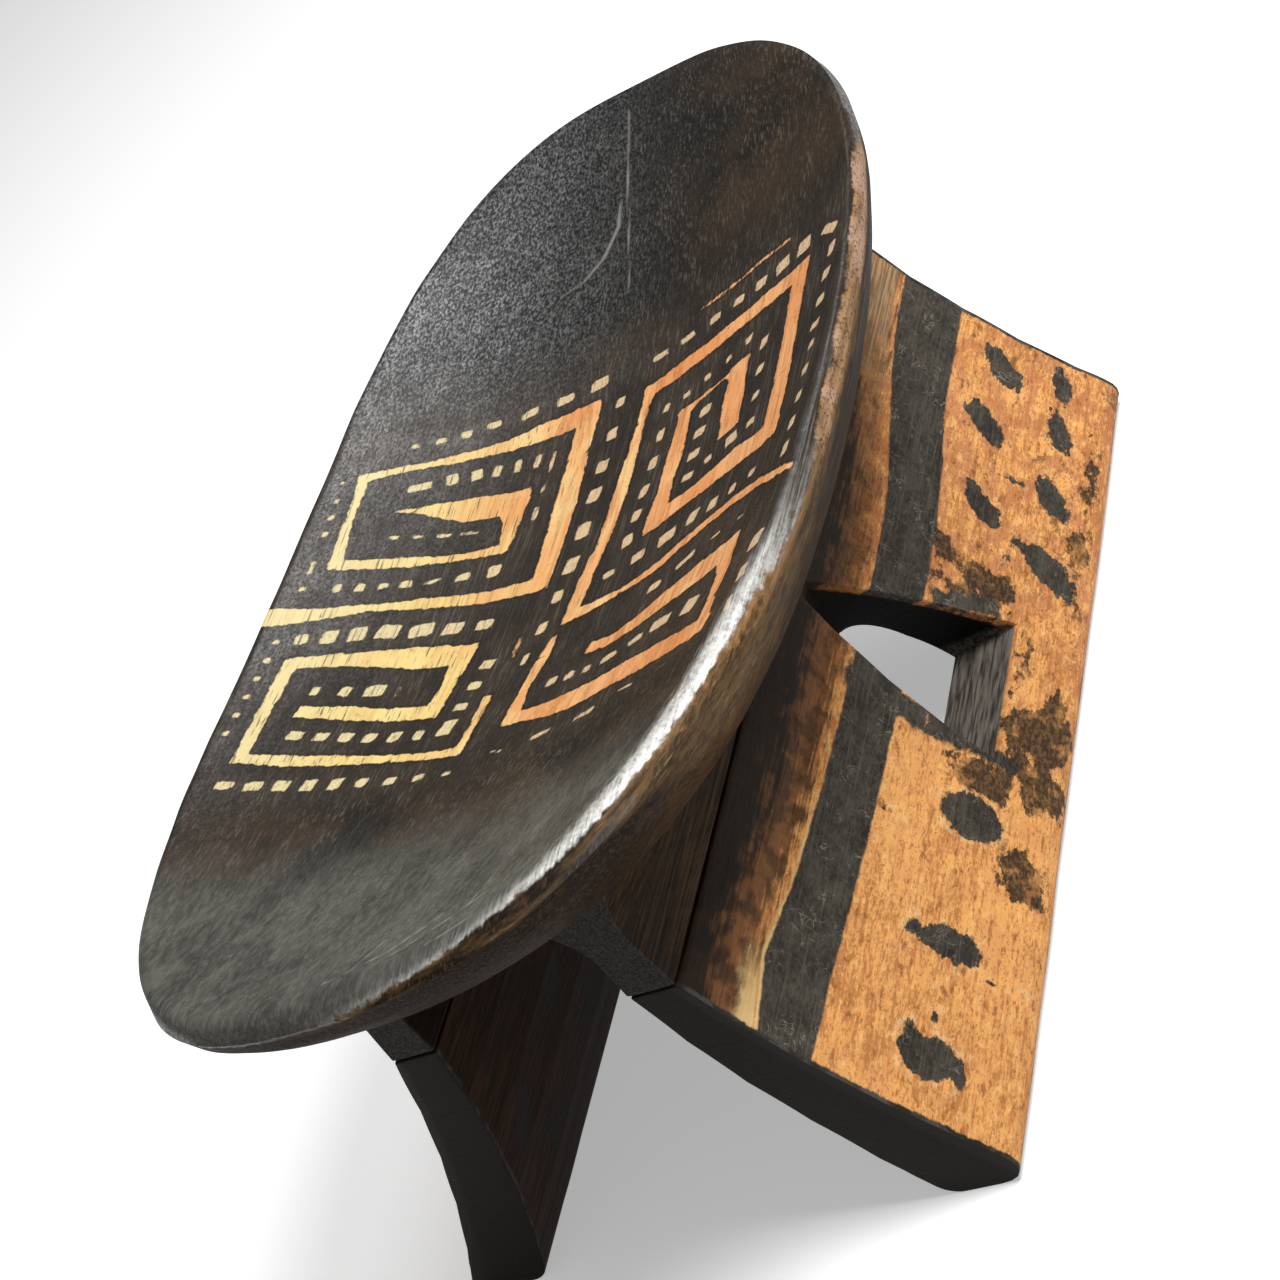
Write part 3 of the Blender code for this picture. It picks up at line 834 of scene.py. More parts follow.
class HEADREST_OT_panels(bpy.types.Operator):
    """Make the two leaning panels with their windows"""

    bl_idname = "headrest.make_panels"
    bl_label = "Make Panels"

    def execute(self, context):
        """Model both panels and paint them."""
        panel = context.scene.headrest_panel
        shape = PanelShape(panel)
        finish = panel_finish(panel)
        for side, name in ((1, "right_panel"), (-1, "left_panel")):
            body = to_object(panel_form(shape, side), "painted_" + name)
            merge(body, [to_object(window_form(shape, side), "window_form")], "DIFFERENCE")
            self.wear_edges(body.data, panel, shape)
            self.lay_paint(body.data, shape)
            body.data.shade_smooth()
            body.data.set_sharp_from_angle(angle=CRISP_ANGLE)
            body.data.materials.clear()
            body.data.materials.append(finish)
            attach(body, "root")
            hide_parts(name)
        return {"FINISHED"}

    def wear_edges(self, mesh, panel, shape):
        """Round the cut edges, divide the faces finely and curve them smoothly."""
        form = bmesh.new()
        form.from_mesh(mesh)
        bmesh.ops.remove_doubles(form, verts=form.verts, dist=WELD)
        form.normal_update()
        sharp = [e for e in form.edges if e.calc_face_angle(0) > CUT_ANGLE]
        bmesh.ops.bevel(form, geom=sharp, offset=panel.worn_edge, offset_type="OFFSET", segments=3,
                        profile=0.5, affect="EDGES", material=-1, clamp_overlap=True)
        low = [min(v.co[axis] for v in form.verts) for axis in range(3)]
        high = [max(v.co[axis] for v in form.verts) for axis in range(3)]
        slice_up(form, panel.cell, low, high)
        tread = (panel.joint_height - panel.joint_gap) / PANEL_TREADS
        for vertex in form.verts:
            z = vertex.co.z
            step = min(PANEL_TREADS - 1, max(0, int(z / tread)))
            share = z / tread - step
            chord = shape.outside(step * tread) * (1 - share) + shape.outside((step + 1) * tread) * share
            if z > panel.nose_outside:
                vertex.co.x += math.copysign(shape.outside(z) - chord, vertex.co.x)
        for vertex in form.verts:
            swell = noise.noise(vertex.co * PANEL_SWELL_SCALE + PANEL_SWELL_SEED) * PANEL_SWELL
            if vertex.co.z > FLAT_FOOT:
                vertex.co += vertex.normal * swell
        bmesh.ops.recalc_face_normals(form, faces=form.faces)
        form.to_mesh(mesh)
        form.free()
        mesh.update()

    def lay_paint(self, mesh, shape):
        """Store which face each point belongs to and how deep it lies in the band and the dabs."""
        points = points_of(mesh)
        panel = shape.panel
        y, z = points[:, 1] / MM, points[:, 2] / MM
        outside = np.array([shape.outside(height) for height in points[:, 2]])
        thickness = np.array([shape.thickness(height) for height in points[:, 2]])
        depth = np.clip((outside - np.abs(points[:, 0])) / thickness, 0, 1)
        ends = np.array([shape.end(height) for height in points[:, 2]]) - np.abs(points[:, 1] - panel.shift)
        along, height, half = (np.array(run) for run in zip(*BAND))
        rise = z - np.interp(y, along, height)
        carry(mesh, "band", np.interp(y, along, half) - np.abs(rise))
        carry(mesh, "above", rise - np.interp(y, along, half))
        carry(mesh, "dab", oval_depth(y, z, PANEL_DABS))
        carry(mesh, "smudge", oval_depth(y, z, SMUDGES))
        carry(mesh, "inner_dab", oval_depth(y, z, INNER_DABS))
        carry(mesh, "brush", np.max([stroke_depth(y, z, stroke) for stroke in WINDOW_STROKES], axis=0))
        carry(mesh, "depth", depth)
        carry(mesh, "end", ends / MM)
        share = np.clip((points[:, 2] - panel.window_sill) / (panel.window_top - panel.window_sill), 0, 1)
        low, high = shape.window_sides(share)
        reach = np.maximum(low - points[:, 1], points[:, 1] - high) / MM
        floor, ceiling = WINDOW_HEIGHTS
        reach = np.maximum(reach, np.maximum(floor - z, z - ceiling))
        carry(mesh, "window", reach)


class HEADREST_OT_stage(bpy.types.Operator):
    """Make the floor, the lamps and the camera"""

    bl_idname = "headrest.make_stage"
    bl_label = "Make Stage"

    def execute(self, context):
        """Set a plain studio around the headrest."""
        stage = context.scene.headrest_stage
        form = bmesh.new()
        bmesh.ops.create_grid(form, x_segments=1, y_segments=1, size=stage.floor_size / 2)
        floor = to_object(form, "floor")
        ground = Recipe("floor_finish")
        ground.shader.inputs["Base Color"].default_value = (*stage.floor_colour, 1.0)
        ground.shader.inputs["Roughness"].default_value = FLOOR_ROUGHNESS
        ground.shader.inputs["Emission Strength"].default_value = stage.white
        path = ground.add("ShaderNodeLightPath")
        seen = Number(ground, path.outputs["Is Camera Ray"])
        for kind in ("Is Glossy Ray", "Is Transmission Ray"):
            seen = seen.most(Number(ground, path.outputs[kind]))
        ground.feed(ground.shader.inputs["Emission Color"], ground.blend(seen, (0, 0, 0), (1, 1, 1)))
        floor.data.materials.append(ground.material)
        lamps = (
            ("key_lamp", stage.key_power, KEY_SIZE, KEY_PLACE),
            ("top_lamp", stage.top_power, TOP_SIZE, TOP_PLACE),
        )
        for name, power, size, place in lamps:
            light = bpy.data.lights.new(name, "AREA")
            light.shape = "DISK"
            light.size = size
            light.energy = power
            lamp = bpy.data.objects.new(name, light)
            lamp.location = place
            lamp.rotation_euler = (LAMP_AIM - place).to_track_quat("-Z", "Y").to_euler()
            context.scene.collection.objects.link(lamp)
        world = bpy.data.worlds.new("studio")
        world.use_nodes = True
        world.node_tree.nodes["Background"].inputs["Color"].default_value = (1.0, 1.0, 1.0, 1.0)
        world.node_tree.nodes["Background"].inputs["Strength"].default_value = stage.sky
        context.scene.world = world
        view = bpy.data.cameras.new("camera")
        view.lens = stage.lens
        view.sensor_width = SENSOR_WIDTH
        camera = bpy.data.objects.new("camera", view)
        back = CAMERA_RIGHT.cross(CAMERA_UP)
        turn = Matrix((CAMERA_RIGHT, CAMERA_UP, back)).transposed().to_4x4()
        camera.matrix_world = Matrix.Translation(CAMERA_PLACE) @ turn
        context.scene.collection.objects.link(camera)
        context.scene.camera = camera
        context.scene.view_settings.view_transform = "Standard"
        return {"FINISHED"}


class RestTints:
    """What wear, dirt and age leave on the rest, with the painted glint, sheen and shade, as linear colours.
    """

    warm_ground = (0.040, 0.029, 0.020)
    rubbed = (0.115, 0.100, 0.080)
    # Bluish grey of dust and of a painted sheen, speckled over the far left of the top.
    dust = (0.24, 0.25, 0.26)
    # Painted sheen: a lighter grey laid over the near end of the top.
    near_sheen_grey = (0.165, 0.162, 0.138)
    scored = (0.34, 0.33, 0.30)
    rusty_grain = (0.40, 0.13, 0.035)
    ember = (0.64, 0.22, 0.065)
    straw = (0.82, 0.66, 0.30)
    stroke_speck = (0.10, 0.045, 0.018)
    # Paler, greyer line paint: a painted sheen over the far left lines.
    sheen_paled = (0.70, 0.62, 0.36)
    pale_lemon = (0.68, 0.58, 0.32)
    pale_amber = (0.60, 0.40, 0.24)
    dab_speck = (0.28, 0.17, 0.10)
    stroke_edge = (0.012, 0.010, 0.008)
    wood_grain = (0.16, 0.075, 0.032)
    pink_wood = (0.55, 0.36, 0.27)
    wood_speck = (0.040, 0.028, 0.018)
    dark_stain = (0.040, 0.023, 0.011)
    light_stain = (0.30, 0.185, 0.08)
    lip = (0.40, 0.215, 0.09)
    # Near-black of the neck: dark stain and painted shade.
    soot_and_shade = (0.007, 0.005, 0.004)
    brown_hair = (0.062, 0.034, 0.016)
    rubbed_neck = (0.098, 0.052, 0.021)
    rib_end = (0.024, 0.0225, 0.021)
    rib_end_hair = (0.080, 0.076, 0.070)
    # Painted highlight: the grey halo and near-white core of the glint on the near right rim.
    painted_glint_halo = (0.30, 0.292, 0.265)
    painted_glint = (0.76, 0.745, 0.70)


class PanelTints:
    """What wear, dirt and age leave on the panels, with painted shade and sunlight, as linear colours."""

    brick = (0.60, 0.25, 0.105)
    light_fleck = (0.95, 0.56, 0.21)
    dark_fleck = (0.26, 0.095, 0.034)
    dirt = (0.17, 0.062, 0.024)
    blotch = (0.11, 0.045, 0.018)
    grime = (0.030, 0.022, 0.015)
    light_grime = (0.13, 0.075, 0.035)
    # Brown of the strip above the band: stain and painted shade.
    brown = (0.185, 0.075, 0.028)
    dark_stain_and_shade = (0.050, 0.022, 0.011)
    # Bare wood, lit by painted sunlight at the far end of the strip.
    bare_and_sunlit = (0.50, 0.33, 0.17)
    # Near-black at the crease: dirt and painted shade.
    crease_dirt_and_shade = (0.012, 0.008, 0.005)
    # Painted highlight of the sunlit corner and the band's top edge.
    painted_sunlit_line = (0.82, 0.58, 0.25)
    dab_halo = (0.86, 0.58, 0.28)
    dusty_black = (0.098, 0.086, 0.066)
    black_hair = (0.13, 0.112, 0.085)
    scrape = (0.27, 0.235, 0.18)
    inner_grain = (0.060, 0.025, 0.010)
    # Painted shade on the window's walls.
    window_wall_shade = (0.007, 0.0065, 0.006)
    sill_grain = (0.045, 0.038, 0.031)
    coal = (0.026, 0.024, 0.022)
    rubbed_end = (0.11, 0.10, 0.09)


class RestGrounds:
    """What the rest's finish is mixed from: places in metres, carried values in millimetres (apart
    from below, a share of the rim's depth), and noises from 0 to 1."""

    def __init__(self, paint):
        self.x = paint.axis("X")
        self.y = paint.axis("Y")
        self.nearward = 0.0 - self.y
        self.edge = paint.carried("edge")
        self.below = paint.carried("below")
        self.drop = paint.carried("drop")
        self.grain = paint.mottle(paint.stretched(1, 0.05, 1), 520, 4, 0.62)
        self.hair = paint.mottle(paint.stretched(1, 0.025, 1), 1500, 3, 0.6)
        self.cloud = paint.mottle(paint.place, 26, 4, 0.6)
        self.patch = paint.mottle(paint.stretched(1, 0.5, 1), 90, 3, 0.6)
        self.speck = paint.mottle(paint.stretched(1, 0.6, 1), 1300, 4, 0.7)
        self.smear = paint.mottle(paint.stretched(1, 0.45, 1), 260, 4, 0.65)
        self.ragged = paint.mottle(paint.stretched(1, 0.7, 1), 420, 3, 0.6)
        runs = {0: (self.drop - self.edge) * 0.22, 1: self.y * 26, 2: self.x * 26}
        rimwise = paint.add("ShaderNodeCombineXYZ", None, runs).outputs[0]
        self.streak = paint.mottle(rimwise, 2.2, 4, 0.65)
        self.fine = paint.mottle(rimwise, 7.0, 3, 0.6)
        self.scored = paint.carried("scratch").step(-0.6, 0.1) * self.patch.step(0.30, 0.55)
        self.nearer = (self.x * 6 - self.y * 4).step(0.35, 0.75)
        self.inward = self.edge - self.nearward.step(0.04, 0.13) * self.x.step(0.0, 0.05) * 4.5
        self.glinting = self.nearward.step(0.025, 0.075)


def charcoal_coat(paint, rest, at):
    """Charcoal paint, thin and brown beside the pattern, dusty with a painted bluish sheen at the far end,
    and painted a lighter grey sheen at the near one.
    """
    near = at.nearward.step(0.074, 0.088) * (1 - at.nearward.step(0.096, 0.120))
    far = at.y.step(0.075, 0.10) * at.x.step(0.0, 0.04)
    thin = (near.most(far) * at.cloud.step(0.35, 0.62)).most(at.cloud.step(0.64, 0.80) * 0.6)
    coat = paint.blend(thin * (0.35 + at.patch * 0.6), rest.charcoal, rest.thin_paint)
    ground = (1 - abs(at.y).step(0.072, 0.092)) * (0.45 + at.patch.step(0.35, 0.65) * 0.55)
    coat = paint.blend(ground * 0.9, coat, RestTints.warm_ground)
    rubbed = at.hair.step(0.50, 0.68) * (0.35 + at.patch.step(0.38, 0.62) * 0.65)
    coat = paint.blend(rubbed * 0.6, coat, RestTints.rubbed)
    # The far left of the top is speckled bluish grey: dust and a painted sheen.
    dusty = (1 - at.x.step(-0.05, 0.02)) * at.y.step(0.05, 0.10)
    dusty = dusty * at.speck.step(0.44, 0.66) * (0.3 + at.smear * 0.9)
    coat = paint.blend(dusty * 0.85, coat, RestTints.dust)
    # The near end of the top is painted a lighter, fibrous grey as a sheen.
    fibre = paint.mottle(paint.stretched(1, 0.22, 1), 800, 4, 0.7, 0.4)
    near_sheen = 0.25 + fibre.step(0.40, 0.66) * 0.35 + at.patch.step(0.35, 0.65) * 0.25
    coat = paint.blend(at.nearward.step(0.085, 0.125) * near_sheen * 0.85, coat, RestTints.near_sheen_grey)
    return paint.blend(at.scored * 0.5, coat, RestTints.scored)


def meander_paint(paint, rest, at, coat):
    """The coat with the strokes and dabs of the meander on it, and where these lie."""
    wobble = (at.ragged - 0.5) * 2.0 + (at.patch - 0.5) * 1.2
    depth = paint.carried("stroke") + wobble
    lines = depth.step(-0.25, 0.25)
    dabs = (paint.carried("dab") + wobble * 0.7).step(-0.25, 0.25)
    worn = 1 - at.hair.step(0.56, 0.68) * (0.8 - at.x.step(-0.04, 0.01) * 0.45)
    warm = (at.x * 13 + at.y * 3 + 0.78 + (at.cloud - 0.5) * 0.6).step(0.0, 1.0)
    ink = paint.blend(warm, rest.lemon, rest.amber)
    ink = paint.blend(at.grain.step(0.42, 0.70) * (0.3 + warm * 0.4), ink, RestTints.rusty_grain)
    ember = paint.mottle(paint.stretched(1, 0.6, 1), 55, 3, 0.6)
    ink = paint.blend(ember.step(0.48, 0.66) * (0.12 + warm * 0.45), ink, RestTints.ember)
    ink = paint.blend((1 - ember.step(0.34, 0.46)) * 0.4, ink, RestTints.straw)
    ink = paint.blend(at.speck.step(0.58, 0.72) * 0.5, ink, RestTints.stroke_speck)
    # Lines on the far left are painted paler and greyer, as a sheen over them.
    ink = paint.blend((1 - at.x.step(-0.075, -0.045)) * 0.5, ink, RestTints.sheen_paled)
    pale = paint.blend(warm * 0.75, RestTints.pale_lemon, RestTints.pale_amber)
    pale = paint.blend(at.speck.step(0.45, 0.70) * 0.55, pale, RestTints.dab_speck)
    coat = paint.blend(depth.step(-1.6, -0.3) * 0.5, coat, RestTints.stroke_edge)
    painted = paint.blend(lines * worn, coat, ink)
    return paint.blend(dabs * worn, painted, pale), lines.most(dabs)


def painted_rim_glint(paint, at, painted, side):
    """The paint along the near right rim with a painted glint: a grey halo and a near-white core of painted
    highlight.
    """
    spread = at.x.step(0.035, 0.082) * at.nearward.step(0.03, 0.095)
    fray = (at.hair - 0.5) * 3.5 + (at.ragged - 0.5) * 8 + (at.patch - 0.5) * 6
    halo = 1 - (at.inward + fray * 0.8 - 1.8 - spread * 10).step(-3.0, 3.0)
    halo = halo * at.hair.step(0.40, 0.60) * at.nearer * at.x.step(0.0, 0.04) * (1 - side)
    core = 1 - (at.inward + fray * (0.15 + spread * 0.75) - 0.6 - spread * 6.6).step(-1.5, 1.5)
    core = core * at.nearer * at.glinting * at.x.step(-0.01, 0.03) * (1 - side)
    grit = 0.16 + at.speck.step(0.38, 0.60) * 0.36 + at.ragged.step(0.36, 0.58) * 0.22
    grit = (grit + at.hair.step(0.38, 0.58) * 0.16) * (0.5 + spread * 0.5)
    painted = paint.blend(halo * 0.65, painted, RestTints.painted_glint_halo)
    return paint.blend(core * grit, painted, RestTints.painted_glint)


def flank_stain(paint, rest, at):
    """The stained flank: streaked gold under the rim, a tan lip, near-black lower down towards the neck as
    dark stain and painted shade, and grey rib ends.
    """
    nearby = at.nearward.step(0.0, 0.10)
    nearest = at.nearward.step(0.095, 0.140)
    mixed = at.streak * 0.35 + at.fine * 0.30 + at.hair * 0.35
    gold = paint.blend(mixed.step(0.43, 0.57), rest.stained_wood, RestTints.dark_stain)
    flecks = at.fine.step(0.54, 0.66) * at.patch.step(0.36, 0.58)
    gold = paint.blend(flecks * 0.6, gold, RestTints.light_stain)
    lip = (at.inward + 1.3 + (at.streak - 0.5) * 5 + (at.ragged - 0.5) * 4).step(-0.7, 0.7)
    lip = lip * (1 - at.below.step(0.2, 0.6)) * at.nearward.step(0.0, 0.04) * (1 - nearest)
    lip = lip * at.x.step(0.03, 0.06)
    gold = paint.blend(lip * (0.25 + mixed.step(0.42, 0.56) * 0.5), gold, RestTints.lip)
    soot_and_shade = paint.blend(at.hair.step(0.48, 0.66) * 0.8, RestTints.soot_and_shade, RestTints.brown_hair)
    rubbed = (at.hair * 0.6 + at.streak * 0.4).step(0.42, 0.58)
    rubbed = rubbed * nearby * (1 - nearest) * at.x.step(0.03, 0.05)
    soot_and_shade = paint.blend(rubbed * 0.75, soot_and_shade, RestTints.rubbed_neck)
    # Darker further below the rim, later on the near half and sooner at the near end: dark stain and painted
    # shade under the rest.
    fall = at.drop + (at.streak - 0.5) * 16 + (at.patch - 0.5) * 8
    flank = paint.blend((fall - nearby * 9 + nearest * 15).step(1.5, 8.0) * 0.95, gold, soot_and_shade)
    butt = paint.carried("butt")
    sawn = (butt + 0.8).step(0.0, 0.4) * (1 - (butt - 0.4).step(0.0, 0.4))
    grey = paint.blend(at.hair.step(0.40, 0.65) * 0.6, RestTints.rib_end, RestTints.rib_end_hair)
    return paint.blend(sawn * at.drop.step(12.0, 16.0), flank, grey)


def chipped_rim(paint, rest, at):
    """Bare wood, and where the paint has chipped off the far right rim."""
    tan = paint.blend(at.grain.step(0.30, 0.70), rest.bare_wood, RestTints.wood_grain)
    tan = paint.blend(at.patch.step(0.45, 0.6) * 0.6, tan, RestTints.pink_wood)
    tan = paint.blend(at.speck.step(0.52, 0.62) * 0.85, tan, RestTints.wood_speck)
    farther = at.y.step(-0.065, -0.005) * at.x.step(0.0, 0.04) * (1 - at.y.step(0.08, 0.13) * 0.75)
    wear = farther * 3.1 - 2.0 + (at.patch - 0.5) * (2.5 + farther * 2.0)
    chips = 1 - (at.edge - wear + (at.ragged - 0.5) * 2.2).step(-0.35, 0.35)
    return tan, chips * (1 - at.below.step(0.3, 0.7)) * (1 - at.nearward.step(0.045, 0.085))


def rest_finish(rest):
    """Charcoal paint with a meander in lemon and amber, worn to wood on the rim."""
    paint = Recipe("rest_finish")
    at = RestGrounds(paint)
    painted, pattern = meander_paint(paint, rest, at, charcoal_coat(paint, rest, at))
    frayed = at.inward + (at.ragged - 0.5) * 3.0 + (at.hair - 0.5) * 0.8
    side = (at.below + (at.ragged - 0.5) * 0.5).step(0.05, 0.25)
    side = side.most(at.nearer * (1 - frayed.step(-0.8, 0.4)))
    # Paint the glint on the near right rim into the colour.
    painted = painted_rim_glint(paint, at, painted, side)
    painted = paint.blend(side, painted, flank_stain(paint, rest, at))
    tan, chips = chipped_rim(paint, rest, at)
    colour = paint.blend(chips, painted, tan)

    glitter = 0.25 + at.smear.step(0.34, 0.70) * 0.45 + at.cloud.step(0.40, 0.62) * 0.3
    glitter = glitter * at.speck.step(0.34, 0.74)
    polished = 0.35 + at.ragged.step(0.30, 0.60) * 0.4 + at.hair.step(0.4, 0.6) * 0.3
    polished = polished * (1 - at.edge.step(7.0, 16.0)) * at.x.step(-0.03, 0.03)
    polished = polished * (0.3 + at.nearer * at.glinting * 0.7)
    varnish = (0.12 + glitter * 0.95).most(polished)
    varnish = varnish * (1 - side * 0.94) * (1 - chips * 0.8) * (1 - pattern * 0.5)
    sheen = 0.58 + (at.cloud - 0.5) * 0.2 + chips * 0.12
    height = at.grain * (0.5 + side * 0.7) + at.hair * 0.3 + at.speck * 0.3 + pattern * 0.2
    height = height - chips * 0.5 - at.scored * 0.3
    return paint.finish(colour, sheen, height, REST_RELIEF, varnish)


class PanelGrounds:
    """What the panels' finish is mixed from: places in metres, carried values in millimetres (apart
    from depth, a share of the thickness), and noises from 0 to 1."""

    def __init__(self, paint):
        self.y = paint.axis("Y")
        self.z = paint.axis("Z")
        self.grain = paint.mottle(paint.stretched(1, 0.09, 1), 900, 3, 0.6, 0.3)
        self.hair = paint.mottle(paint.stretched(1, 0.03, 1), 1400, 3, 0.6)
        self.pores = paint.mottle(paint.stretched(1, 0.22, 1), 1700, 3, 0.6)
        self.dust = paint.mottle(paint.stretched(1, 0.5, 1), 1100, 3, 0.7)
        self.cloud = paint.mottle(paint.place, 30, 4, 0.6)
        self.blotch = paint.mottle(paint.stretched(1, 0.6, 1), 130, 5, 0.7)
        self.ragged = paint.mottle(paint.stretched(1, 0.45, 1), 420, 4, 0.7)
        self.torn = paint.mottle(paint.stretched(1, 0.8, 1), 170, 3, 0.6)
        self.patchy = paint.mottle(paint.stretched(1, 0.7, 1), 150, 4, 0.65)
        self.window = paint.carried("window")
        self.depth = paint.carried("depth")
        self.above = paint.carried("above")
        self.dab = paint.carried("dab")
        self.end = paint.carried("end")
        self.far = self.y.step(-0.03, 0.05)
        self.wobble = (self.ragged - 0.5) * 5.5 + (self.torn - 0.5) * 3.5


def orange_field(paint, panel, at):
    """Orange paint, mottled with rust, flecks, dirt and smudges."""
    tone = at.grain * 0.36 + at.dust * 0.40 + at.pores * 0.24 + (at.cloud - 0.5) * 0.3
    fleck = paint.mottle(paint.stretched(1, 0.4, 1), 560, 4, 0.65)
    bricky = (1 - at.patchy.step(0.42, 0.60)) * (0.35 + at.far * 0.6)
    field = paint.blend(bricky, panel.orange, PanelTints.brick)
    field = paint.blend((1 - tone.step(0.42, 0.54)) * 0.85, field, panel.rust)
    field = paint.blend(fleck.step(0.56, 0.66) * 0.6, field, PanelTints.light_fleck)
    field = paint.blend((1 - fleck.step(0.34, 0.43)) * 0.7, field, PanelTints.dark_fleck)
    dirty = at.dust.step(0.56, 0.66) * (0.25 + at.torn.step(0.40, 0.60) * 0.4 + at.far * 0.2)
    field = paint.blend(dirty, field, PanelTints.dirt)
    field = paint.blend((at.blotch + at.far * 0.05).step(0.62, 0.70) * 0.7, field, PanelTints.blotch)
    smudge = (paint.carried("smudge") + (at.blotch - 0.5) * 20 + at.wobble * 0.8).step(-0.2, 1.2)
    grime = paint.blend(at.dust.step(0.45, 0.62), PanelTints.grime, PanelTints.light_grime)
    return paint.blend(smudge * (0.95 - at.patchy.step(0.52, 0.66) * 0.45), field, grime)


def upper_strip(paint, at, field):
    """The field with the strip above the band browned by stain and painted shade, near-black at the crease
    and lighter at the far end, a painted sunlit corner and highlight line, and pale dab edges.
    """
    strip = at.above + (at.torn - 0.5) * 8 + (at.grain - 0.5) * 14 + (at.hair - 0.5) * 8
    outer_end = at.y.step(0.080, 0.120)
    # Stain and the painted shade of the rest over the strip, less of it on the far half.
    brown = paint.blend(at.torn.step(0.42, 0.58), PanelTints.brown, PanelTints.dark_stain_and_shade)
    field = paint.blend(strip.step(0.5, 4.5) * (0.9 - at.far * (1 - outer_end) * 0.3), field, brown)
    # At the far end the strip is painted lighter, as bare wood in sunlight.
    bare_and_sunlit = at.above.step(1.0, 4.0) * outer_end * (0.25 + at.hair.step(0.44, 0.60) * 0.6)
    field = paint.blend(bare_and_sunlit, field, PanelTints.bare_and_sunlit)
    # Near-black towards the crease: dirt and painted shade, lifted at the far end.
    crease_dirt_and_shade = (strip + at.far * 2 - outer_end * 10).step(7.0, 15.0)
    field = paint.blend(crease_dirt_and_shade * (0.94 - outer_end * 0.2), field, PanelTints.crease_dirt_and_shade)
    # A painted sunlit corner at the near end and a painted highlight line along the band's top edge on the
    # near half.
    corner = (1 - at.y.step(-0.122, -0.100)) * at.above.step(0.5, 1.5)
    corner = corner * (1 - (at.above + at.wobble).step(4.0, 7.0))
    line = at.above.step(-0.6, 0.0) * (1 - at.above.step(0.3, 1.2)) * (1 - at.y.step(-0.07, -0.05))
    line = line * at.torn.step(0.38, 0.50)
    field = paint.blend(corner.most(line) * 0.8, field, PanelTints.painted_sunlit_line)
    halo = (at.dab + at.wobble).step(-2.0, -0.6) * at.ragged.step(0.50, 0.58) * (1 - at.far * 0.7)
    return paint.blend(halo * 0.55, field, PanelTints.dab_halo)


def band_ink(paint, panel, at):
    """Dusty, scraped black of the band, the dabs and the brush strokes."""
    scuff = paint.mottle(paint.stretched(1, 0.7, 0.5), 240, 3, 0.6, 1.0)
    scrape = (1 - abs(scuff - 0.5).step(0.003, 0.016)) * at.torn.step(0.46, 0.60)
    dusty = (at.dust * 0.5 + at.patchy * 0.5).step(0.36, 0.66)
    ink = paint.blend(dusty * 0.8, panel.black, PanelTints.dusty_black)
    ink = paint.blend(at.hair.step(0.52, 0.68) * 0.45, ink, PanelTints.black_hair)
    return paint.blend(scrape * 0.6, ink, PanelTints.scrape)


def inner_stain(paint, panel, at, wall):
    """Umber inner face, dark from its colour and painted shade, with dim dabs, and the window's walls painted
    near-black as shade.
    """
    inner = paint.blend(at.grain.step(0.35, 0.72), panel.umber_and_shade, PanelTints.inner_grain)
    inner = paint.blend((paint.carried("inner_dab") + at.wobble).step(-0.4, 0.4), inner, panel.black)
    return paint.blend(wall, inner, PanelTints.window_wall_shade)


def end_coal(paint, panel, at):
    """Black of the end faces, rubbed along their edges."""
    coal = paint.blend(at.cloud.step(0.4, 0.7) * 0.7, panel.black, PanelTints.coal)
    rubbed = at.end.step(0.15, 0.5) * at.torn.step(0.42, 0.62)
    return paint.blend(rubbed * 0.6, coal, PanelTints.rubbed_end)


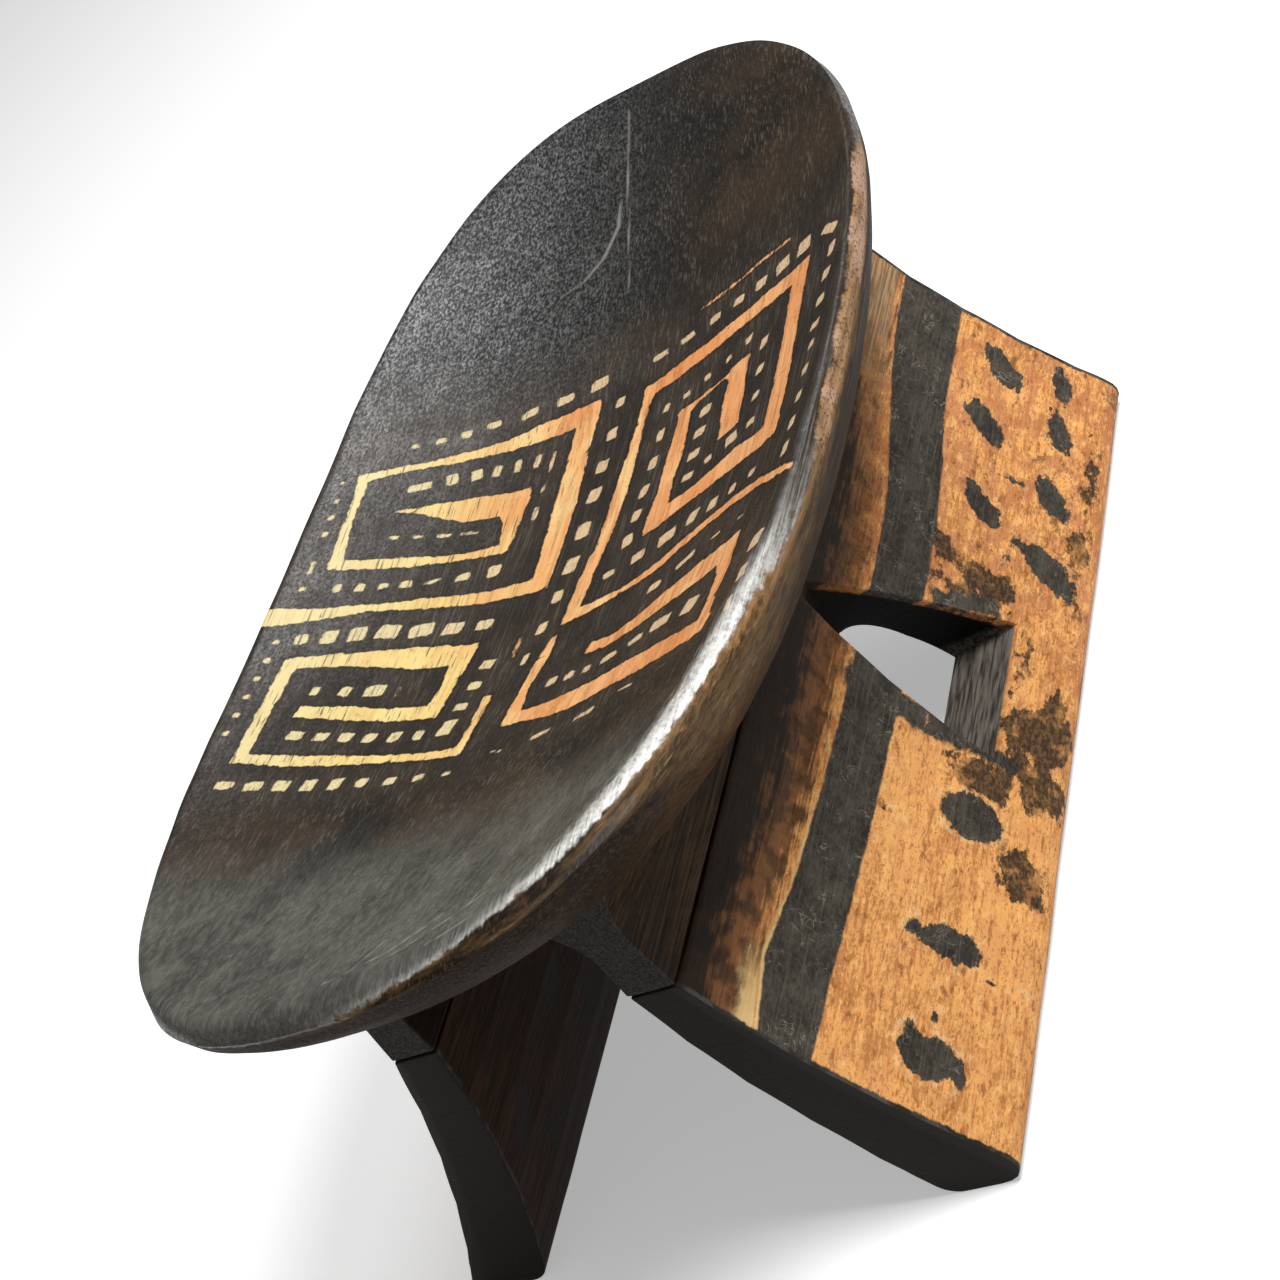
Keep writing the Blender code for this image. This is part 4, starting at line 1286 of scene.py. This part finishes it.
def panel_finish(panel):
    """Orange paint with a black band and dabs, black ends and a dark inside."""
    paint = Recipe("panel_finish")
    at = PanelGrounds(paint)
    field = upper_strip(paint, at, orange_field(paint, panel, at))
    band = (paint.carried("band") + at.wobble * 0.2).step(-0.3, 0.3)
    dabs = (at.dab + at.wobble).step(-0.3, 0.3)
    brush = (paint.carried("brush") + at.wobble * 0.9).step(-0.9, 0.6)
    dark = band.most(dabs).most(brush)
    outer = paint.blend(dark, field, band_ink(paint, panel, at))
    # The window's walls, and the inner face just above its arch, are painted near-black as shade; the sill is
    # laid over them after.
    wall = (1 - at.window.step(0.5, 2.0)) * at.depth.step(0.03, 0.08)
    inner = inner_stain(paint, panel, at, wall)
    sill = paint.blend(at.grain.step(0.35, 0.65), panel.weathered, PanelTints.sill_grain)
    body = paint.blend((at.depth + (at.ragged - 0.5) * 0.06).step(0.10, 0.18), outer, inner)
    body = paint.blend(wall * (1 - at.z.step(0.0225, 0.026)), body, sill)
    ends = 1 - (at.end + (at.ragged - 0.5) * 2.2).step(1.2, 1.9)
    colour = paint.blend(ends, body, end_coal(paint, panel, at))
    sheen = 0.50 + at.cloud * 0.16 + at.hair * 0.08
    height = at.grain * 0.5 + at.pores * 0.3 + at.dust * 0.2 + at.hair * 0.2 + dark * 0.15
    varnish = 0.08 * (1 - wall) * (1 - at.depth.step(0.1, 0.2) * 0.6) * (0.6 + at.cloud * 0.8)
    return paint.finish(colour, sheen, height, PANEL_RELIEF, varnish)


class HEADREST_PT_panel(bpy.types.Panel):
    """The headrest's tools in the sidebar"""

    bl_idname = "HEADREST_PT_panel"
    bl_label = "Painted Headrest"
    bl_space_type = "VIEW_3D"
    bl_region_type = "UI"
    bl_category = "Headrest"

    def draw(self, context):
        """List the settings and the operators."""
        groups = (
            (context.scene.headrest_rest, HEADREST_OT_rest.bl_idname),
            (context.scene.headrest_panel, HEADREST_OT_panels.bl_idname),
            (context.scene.headrest_stage, HEADREST_OT_stage.bl_idname),
        )
        for group, tool in groups:
            box = self.layout.box()
            for name in group.bl_rna.properties.keys():
                if name not in {"rna_type", "name"}:
                    box.prop(group, name)
            box.operator(tool)


CLASSES = (RestSettings, PanelSettings, StageSettings, HEADREST_OT_rest, HEADREST_OT_panels,
           HEADREST_OT_stage, HEADREST_PT_panel)


def register():
    """Register the classes and their settings."""
    for item in CLASSES:
        bpy.utils.register_class(item)
    bpy.types.Scene.headrest_rest = PointerProperty(type=RestSettings)
    bpy.types.Scene.headrest_panel = PointerProperty(type=PanelSettings)
    bpy.types.Scene.headrest_stage = PointerProperty(type=StageSettings)


def unregister():
    """Remove the settings and the classes."""
    del bpy.types.Scene.headrest_stage
    del bpy.types.Scene.headrest_panel
    del bpy.types.Scene.headrest_rest
    for item in reversed(CLASSES):
        bpy.utils.unregister_class(item)


def main():
    """Make the headrest and its studio."""
    register()
    bpy.ops.headrest.make_stage()
    bpy.ops.headrest.make_rest()
    bpy.ops.headrest.make_panels()


if __name__ == "__main__":
    main()
